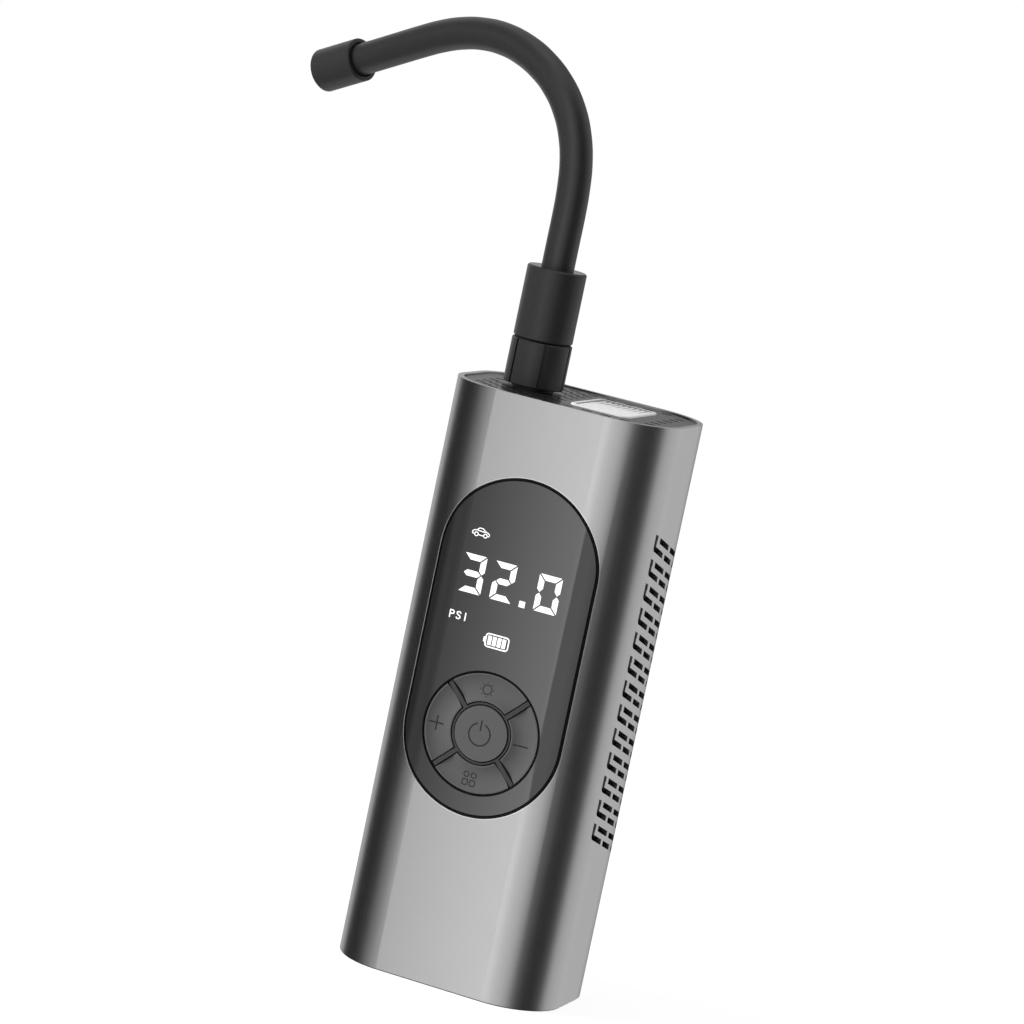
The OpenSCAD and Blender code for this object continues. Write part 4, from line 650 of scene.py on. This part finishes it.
def lofted(name, stacks, paint):
    """A piece of closed shapes, each run through a stack of outlines with equally many points."""
    points, faces = [], []
    for stack in stacks:
        low, count = len(points), len(stack[0])
        points += [point for outline in stack for point in outline]
        high = len(points) - count
        for row in range(low, high, count):
            faces += [(row + k, row + (k + 1) % count, row + count + (k + 1) % count, row + count + k)
                      for k in range(count)]
        faces += [tuple(range(low, low + count)), tuple(range(high, high + count))]
    return mesh_piece(name, points, faces, paint)


lens = lofted("lamp_lens_ribbed", [[
    lens_outline(-FLANGE_OUT, FLANGE_LOW), lens_outline(-FLANGE_OUT, LENS_LOW - COVER_GAP),
    lens_outline(0, LENS_LOW - COVER_GAP), lens_outline(0, LENS_TOP - RIM_BREAK),
    lens_outline(RIM_BREAK, LENS_TOP), lens_outline(RIM_W, LENS_TOP),
    lens_outline(RIM_W + WALL_LEAN, FIELD),
]], opal)

# The field and the inner walls of the rim lie in shade, so they have tones of their own.
opal_shade = grained("opal lens in shade", (0.4, 0.4, 0.4), 0.4, 0.5 * MM, 0.003 * MM)
opal_wall = grained("opal lens wall", (0.6, 0.6, 0.6), 0.4, 0.5 * MM, 0.003 * MM)
lens.data.materials.append(opal_shade.material)
lens.data.materials.append(opal_wall.material)
INNER_W, INNER_D, AT_FIELD = LENS_W / 2 - 1.15, LENS_D / 2 - 1.15, 0.01
for face in lens.data.polygons:
    across, along, high = (part / MM for part in face.center)
    if abs(high - FIELD) < AT_FIELD:
        face.material_index = 1
    elif high > FIELD and abs(across - LENS_X) < INNER_W and abs(along) < INNER_D:
        face.material_index = 2
smooth(lens, 30)
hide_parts("lamp_lens")

# The ribs and prisms glow a little more than the lens: painted light.
opal_rib = grained("opal lens rib", (0.8, 0.8, 0.8), 0.3, 0.5 * MM, 0.003 * MM, Emission_Strength=0.37)
opal_rib.feed(Emission_Color=opal_rib.blend(opal_rib.grain(2 * MM), (0.85, 0.85, 0.85), (1, 1, 1)))
RIB_N, RIB_PITCH, RIB_W, RIB_FRONT, RIB_BACK = 9, 1.58, 1.3, -LENS_D / 2 + 1.45, 3.6
PRISM_ROWS, PRISM_START, PRISM_PITCH, PRISM_R, PRISM_N = 5, 0.9, 1.45, 0.55, 8
CREST_IN, CREST_Z, FOOT_Z = 0.2, FIELD + 0.24, FIELD - 0.1


def rib_outline(x, inset, z):
    """A rib's outline in metres, inset by millimetres, at a height."""
    half, front, back = RIB_W / 2 - inset, RIB_FRONT + inset, RIB_BACK - inset
    flat = [(x - half, front), (x + half, front), (x + half, back), (x - half, back)]
    return [Vector((*point, z)) * MM for point in flat]


def prism_outline(x, y, radius, z):
    """A prism's outline in metres at a height."""
    turns = [math.tau * k / PRISM_N for k in range(PRISM_N)]
    return [Vector((x + radius * math.cos(turn), y + radius * math.sin(turn), z)) * MM for turn in turns]


blocks = []
for x in (LENS_X + (k - (RIB_N - 1) / 2) * RIB_PITCH for k in range(RIB_N)):
    blocks.append([rib_outline(x, 0, FOOT_Z), rib_outline(x, CREST_IN, CREST_Z)])
    for y in (RIB_BACK + PRISM_START + row * PRISM_PITCH for row in range(PRISM_ROWS)):
        blocks.append([prism_outline(x, y, PRISM_R, FOOT_Z), prism_outline(x, y, PRISM_R / 2, CREST_Z)])
lofted("lamp_lens_prisms", blocks, opal_rib)

tray_white = grained("white tray plastic", (0.78, 0.78, 0.76), 0.42, 0.5 * MM, 0.01 * MM)
dress(tray_white, "lamp_tray", "lamp_board")

# ---------------------------------------------------------------- boards
# Glass-fibre boards with a green solder mask: the control board on the carrier's posts and the
# main board in the chassis's guides. The switches and the display are black. Foam strips 1.2 mm
# behind the control board, stepped round what is there, stop most light between the vents.
mask_green = Paint("green solder mask", (0.02, 0.16, 0.08), 0.35)
TRACK_PITCH, TRACK_SHARE = 2.2 * MM, 0.08
tracks = mask_green.node("ShaderNodeTexVoronoi", {"feature": "DISTANCE_TO_EDGE"},
                         {"Vector": mask_green.place(), "Scale": 1 / TRACK_PITCH}, out="Distance")
track_here = tracks < TRACK_SHARE
mask_green.feed(
    Roughness=0.3 + mask_green.grain(1 * MM) * 0.12,
    Base_Color=mask_green.blend(track_here, (0.015, 0.12, 0.06), (0.04, 0.24, 0.12)),
)
mask_green.relief(track_here, 0.02 * MM)
dress(mask_green, "control_board", "main_board")
part_black = grained("black component plastic", (0.025, 0.025, 0.026), 0.4, 0.3 * MM, 0.01 * MM)
dress(part_black, "tact_switches", "display_module", "pressure_sensor")

foam = grained("black foam strip", (0.01, 0.01, 0.01), 0.9, 0.5 * MM, 0.04 * MM)
FOAM_X, FOAM_THICK, FOAM_FACE = (-18.5, 17.7), 0.8, -12.08
# The two strips on each side, as points in Y and Z.
FOAM_LOW = [
    (FOAM_FACE, 48.5), (-9, 48.5), (-9, 45.5), (-1, 45.5),
    (-1, 76), (-8.4, 76), (-8.4, 101.9), (FOAM_FACE, 101.9),
]
FOAM_HIGH = [
    (FOAM_FACE, 110.5), (-8.6, 110.5), (-8.6, 116.5), (-7.9, 116.5),
    (-7.9, 128.3), (-0.8, 128.3), (-0.8, 132.5), (FOAM_FACE, 132.5),
]
for name, left in zip(("board_foam_left", "board_foam_right"), FOAM_X):
    strips = [[[Vector((x, y, z)) * MM for y, z in outline] for x in (left, left + FOAM_THICK)]
              for outline in (FOAM_LOW, FOAM_HIGH)]
    lofted(name, strips, foam)

# ---------------------------------------------------------------- battery
# Two cells in blue shrink film, held in a moulded cradle and joined by welded nickel strips.
# The leads are stranded copper in a red jacket.
shrink_blue = grained("blue shrink film", (0.05, 0.22, 0.45), 0.3, 1.2 * MM, 0.02 * MM)
dress(shrink_blue, "battery_cell_left", "battery_cell_right")
cradle_plastic = grained("black cradle plastic", (0.04, 0.04, 0.042), 0.5, 0.5 * MM, 0.012 * MM)
dress(cradle_plastic, "cell_cradle")
nickel = grained("nickel strip", (0.6, 0.58, 0.54), 0.3, 0.5 * MM, 0.005 * MM, Metallic=1)
dress(nickel, "cell_tabs")
jacket = grained("red wire jacket", (0.45, 0.04, 0.03), 0.45, 0.6 * MM, 0.01 * MM)
dress(jacket, "battery_leads", "motor_leads")

# ---------------------------------------------------------------- motor
# Brushed motor: a rolled and plated steel can with a moulded end cap, two ferrite magnets, and
# an armature of enamelled copper wire on a ground shaft, with a hardened pinion pressed on it.
can_steel = Paint("plated motor can", (0.5, 0.5, 0.5), 0.35, Metallic=1)
upwards = can_steel.node("ShaderNodeMapping",
                         inputs={"Vector": can_steel.place(), "Scale": (1, 1, 0.05)})
drawn = can_steel.grain(0.4 * MM, 3, where=upwards)
can_steel.feed(
    Roughness=0.28 + drawn * 0.16,
    Base_Color=can_steel.blend(drawn, (0.44, 0.44, 0.44), (0.54, 0.54, 0.54)),
)
can_steel.relief(drawn, 0.005 * MM)
dress(can_steel, "motor_can")
white_plastic = grained("white acetal", (0.76, 0.76, 0.74), 0.4, 0.6 * MM, 0.01 * MM)
dress(white_plastic, "motor_end_cap", "crank_gear", "piston_rod")
ferrite = grained("sintered ferrite", (0.07, 0.07, 0.072), 0.7, 0.3 * MM, 0.02 * MM)
dress(ferrite, "motor_magnets")
copper = Paint("enamelled copper wire", (0.6, 0.28, 0.13), 0.3, Metallic=1)
turns = copper.node("ShaderNodeTexWave", {"bands_direction": "Z"},
                    {"Vector": copper.place(), "Scale": 1 / (1.6 * MM)}, out="Fac")
copper.feed(
    Roughness=0.26 + turns * 0.1,
    Base_Color=copper.blend(turns, (0.42, 0.18, 0.08), (0.68, 0.34, 0.16)),
)
copper.relief(turns, 0.05 * MM)
dress(copper, "motor_armature")
ground_steel = grained("ground steel", (0.6, 0.6, 0.61), 0.24, 0.25 * MM, 0.002 * MM, Metallic=1)
dress(ground_steel, "motor_shaft", "drive_pinion", "gear_axle", "crank_pin", "rod_bearing")

# ---------------------------------------------------------------- pump
# Die-cast frame and head, a drawn cylinder, a sintered bronze bush in the gear, a red fibre
# gasket and a thin spring flap over the outlet port.
cast = grained("die-cast aluminium", (0.56, 0.56, 0.565), 0.45, 0.5 * MM, 0.02 * MM, Metallic=1)
dress(cast, "pump_frame", "cylinder_head")
# The outlet manifold is painted near black, which is painted shade: the shadow under the hose nut.
manifold_shade_black = grained("near-black manifold in painted shade", (0.02, 0.02, 0.021), 0.5, 0.4 * MM, 0.006 * MM)
dress(manifold_shade_black, "outlet_manifold")
cylinder_metal = grained("honed cylinder", (0.6, 0.6, 0.6), 0.28, 0.3 * MM, 0.004 * MM, Metallic=1)
dress(cylinder_metal, "pump_cylinder")
bronze = grained("sintered bronze", (0.5, 0.34, 0.18), 0.45, 0.25 * MM, 0.01 * MM, Metallic=1)
dress(bronze, "gear_bush", "outlet_valve_flap")
fibre = grained("red fibre gasket", (0.3, 0.08, 0.05), 0.8, 0.3 * MM, 0.02 * MM)
dress(fibre, "head_gasket")

# ---------------------------------------------------------------- studio
# A light tent with pale and black panels round the set gives the reflections, one soft lamp
# and an even sky light the rest, and the floor and the background are white.
tent_paint = Paint("light tent")
spot = tent_paint.place()
tent_x = tent_paint.node("ShaderNodeSeparateXYZ", inputs={0: spot}, out="X")
tent_y = tent_paint.node("ShaderNodeSeparateXYZ", inputs={0: spot}, out="Y")
turn = tent_paint.node("ShaderNodeMath", {"operation": "ARCTAN2"}, {0: tent_x, 1: 0 - tent_y})
share = turn / (2 * math.pi) + 0.5
# Each stop is a turn in degrees, from the front to the right, and the strength of light there.
PANELS = [
    (-180, 0.3), (-150, 0.65), (-114, 0.75), (-107, 0.03), (-54, 0.03),
    (-44, 0.3), (-30, 0.3), (-22, 0.46), (-15, 1.7), (-6.1, 1.85),
    (-6, 0.82), (10, 0.88), (27, 0.7), (40, 0.03), (94, 0.03),
    (101, 0.7), (148, 0.78), (161, 0.72), (170, 0.3), (180, 0.3),
]
ramp = tent_paint.node(
    "ShaderNodeValToRGB", {"stops": [(degrees / 360 + 0.5, shade) for degrees, shade in PANELS]},
    {0: share}, out="Color")
glow = tent_paint.node("ShaderNodeEmission", inputs={"Color": ramp, "Strength": 1.0})
tent_paint.tree.links.new(glow.socket, tent_paint.tree.nodes["Material Output"].inputs["Surface"])

TENT_R, TENT_H, TENT_Z = 0.32, 1.6, 0.1
deselect()
bpy.ops.mesh.primitive_cylinder_add(
    vertices=128, radius=TENT_R, depth=TENT_H, location=(0, 0, TENT_Z), end_fill_type="NOTHING")
tent = bpy.context.active_object
tent.name = "light_tent"
bpy.ops.object.transform_apply(location=True, rotation=True, scale=True)
tent.data.materials.append(tent_paint.material)
tent.visible_camera = False
tent.visible_diffuse = False
tent.visible_transmission = False
tent.visible_shadow = False

floor_paint = Paint("white floor", (0.8, 0.8, 0.8), 0.9)
seen = floor_paint.node("ShaderNodeLightPath", out="Is Camera Ray")
soft = floor_paint.node("ShaderNodeBsdfDiffuse", inputs={"Color": (0.35, 0.35, 0.35, 1)})
lit = floor_paint.node("ShaderNodeEmission", inputs={"Color": (1, 1, 1, 1), "Strength": 0.88})
shown = floor_paint.node("ShaderNodeAddShader", inputs={0: soft, 1: lit})
pale = floor_paint.node("ShaderNodeBsdfDiffuse", inputs={"Color": (0.8, 0.8, 0.8, 1)})
both = floor_paint.node("ShaderNodeMixShader", inputs={0: seen, 1: pale, 2: shown})
floor_paint.tree.links.new(both.socket, floor_paint.tree.nodes["Material Output"].inputs["Surface"])

# The floor lies just under the foot, because two faces at one height would flicker.
FLOOR_SIZE, FLOOR_DROP = 8, 0.1 * MM
deselect()
bpy.ops.mesh.primitive_plane_add(size=FLOOR_SIZE, location=(0, 0, -FLOOR_DROP))
bpy.ops.object.transform_apply(location=True, rotation=True, scale=True)
floor = bpy.context.active_object
floor.name = "floor"
floor.data.materials.append(floor_paint.material)
floor.visible_glossy = False

LAMP_PLACE, LAMP_AIM = Vector((-1.0, -0.55, 0.5)), Vector((0, 0, 0.12))
light = bpy.data.lights.new("key_lamp", "AREA")
light.size = 0.7
light.energy = 14
key_lamp = bpy.data.objects.new("key_lamp", light)
key_lamp.location = LAMP_PLACE
key_lamp.rotation_euler = (LAMP_AIM - LAMP_PLACE).to_track_quat("-Z", "Y").to_euler()
key_lamp.visible_camera = False
key_lamp.visible_glossy = False
bpy.context.scene.collection.objects.link(key_lamp)

world = bpy.data.worlds.new("world")
bpy.context.scene.world = world
world.use_nodes = True
sky = world.node_tree
ray = sky.nodes.new("ShaderNodeLightPath")
seen_or_glossy = sky.nodes.new("ShaderNodeMath")
seen_or_glossy.operation = "MAXIMUM"
sky.links.new(ray.outputs["Is Camera Ray"], seen_or_glossy.inputs[0])
sky.links.new(ray.outputs["Is Glossy Ray"], seen_or_glossy.inputs[1])
shown_white = sky.nodes.new("ShaderNodeMath")
shown_white.operation = "MAXIMUM"
sky.links.new(seen_or_glossy.outputs[0], shown_white.inputs[0])
sky.links.new(ray.outputs["Is Transmission Ray"], shown_white.inputs[1])
strength = sky.nodes.new("ShaderNodeMapRange")
strength.inputs["To Min"].default_value = 0.34
strength.inputs["To Max"].default_value = 1
sky.links.new(shown_white.outputs[0], strength.inputs["Value"])
sky.links.new(strength.outputs[0], sky.nodes["Background"].inputs["Strength"])
sky.nodes["Background"].inputs["Color"].default_value = (1, 1, 1, 1)

bpy.context.scene.view_settings.view_transform = "Standard"
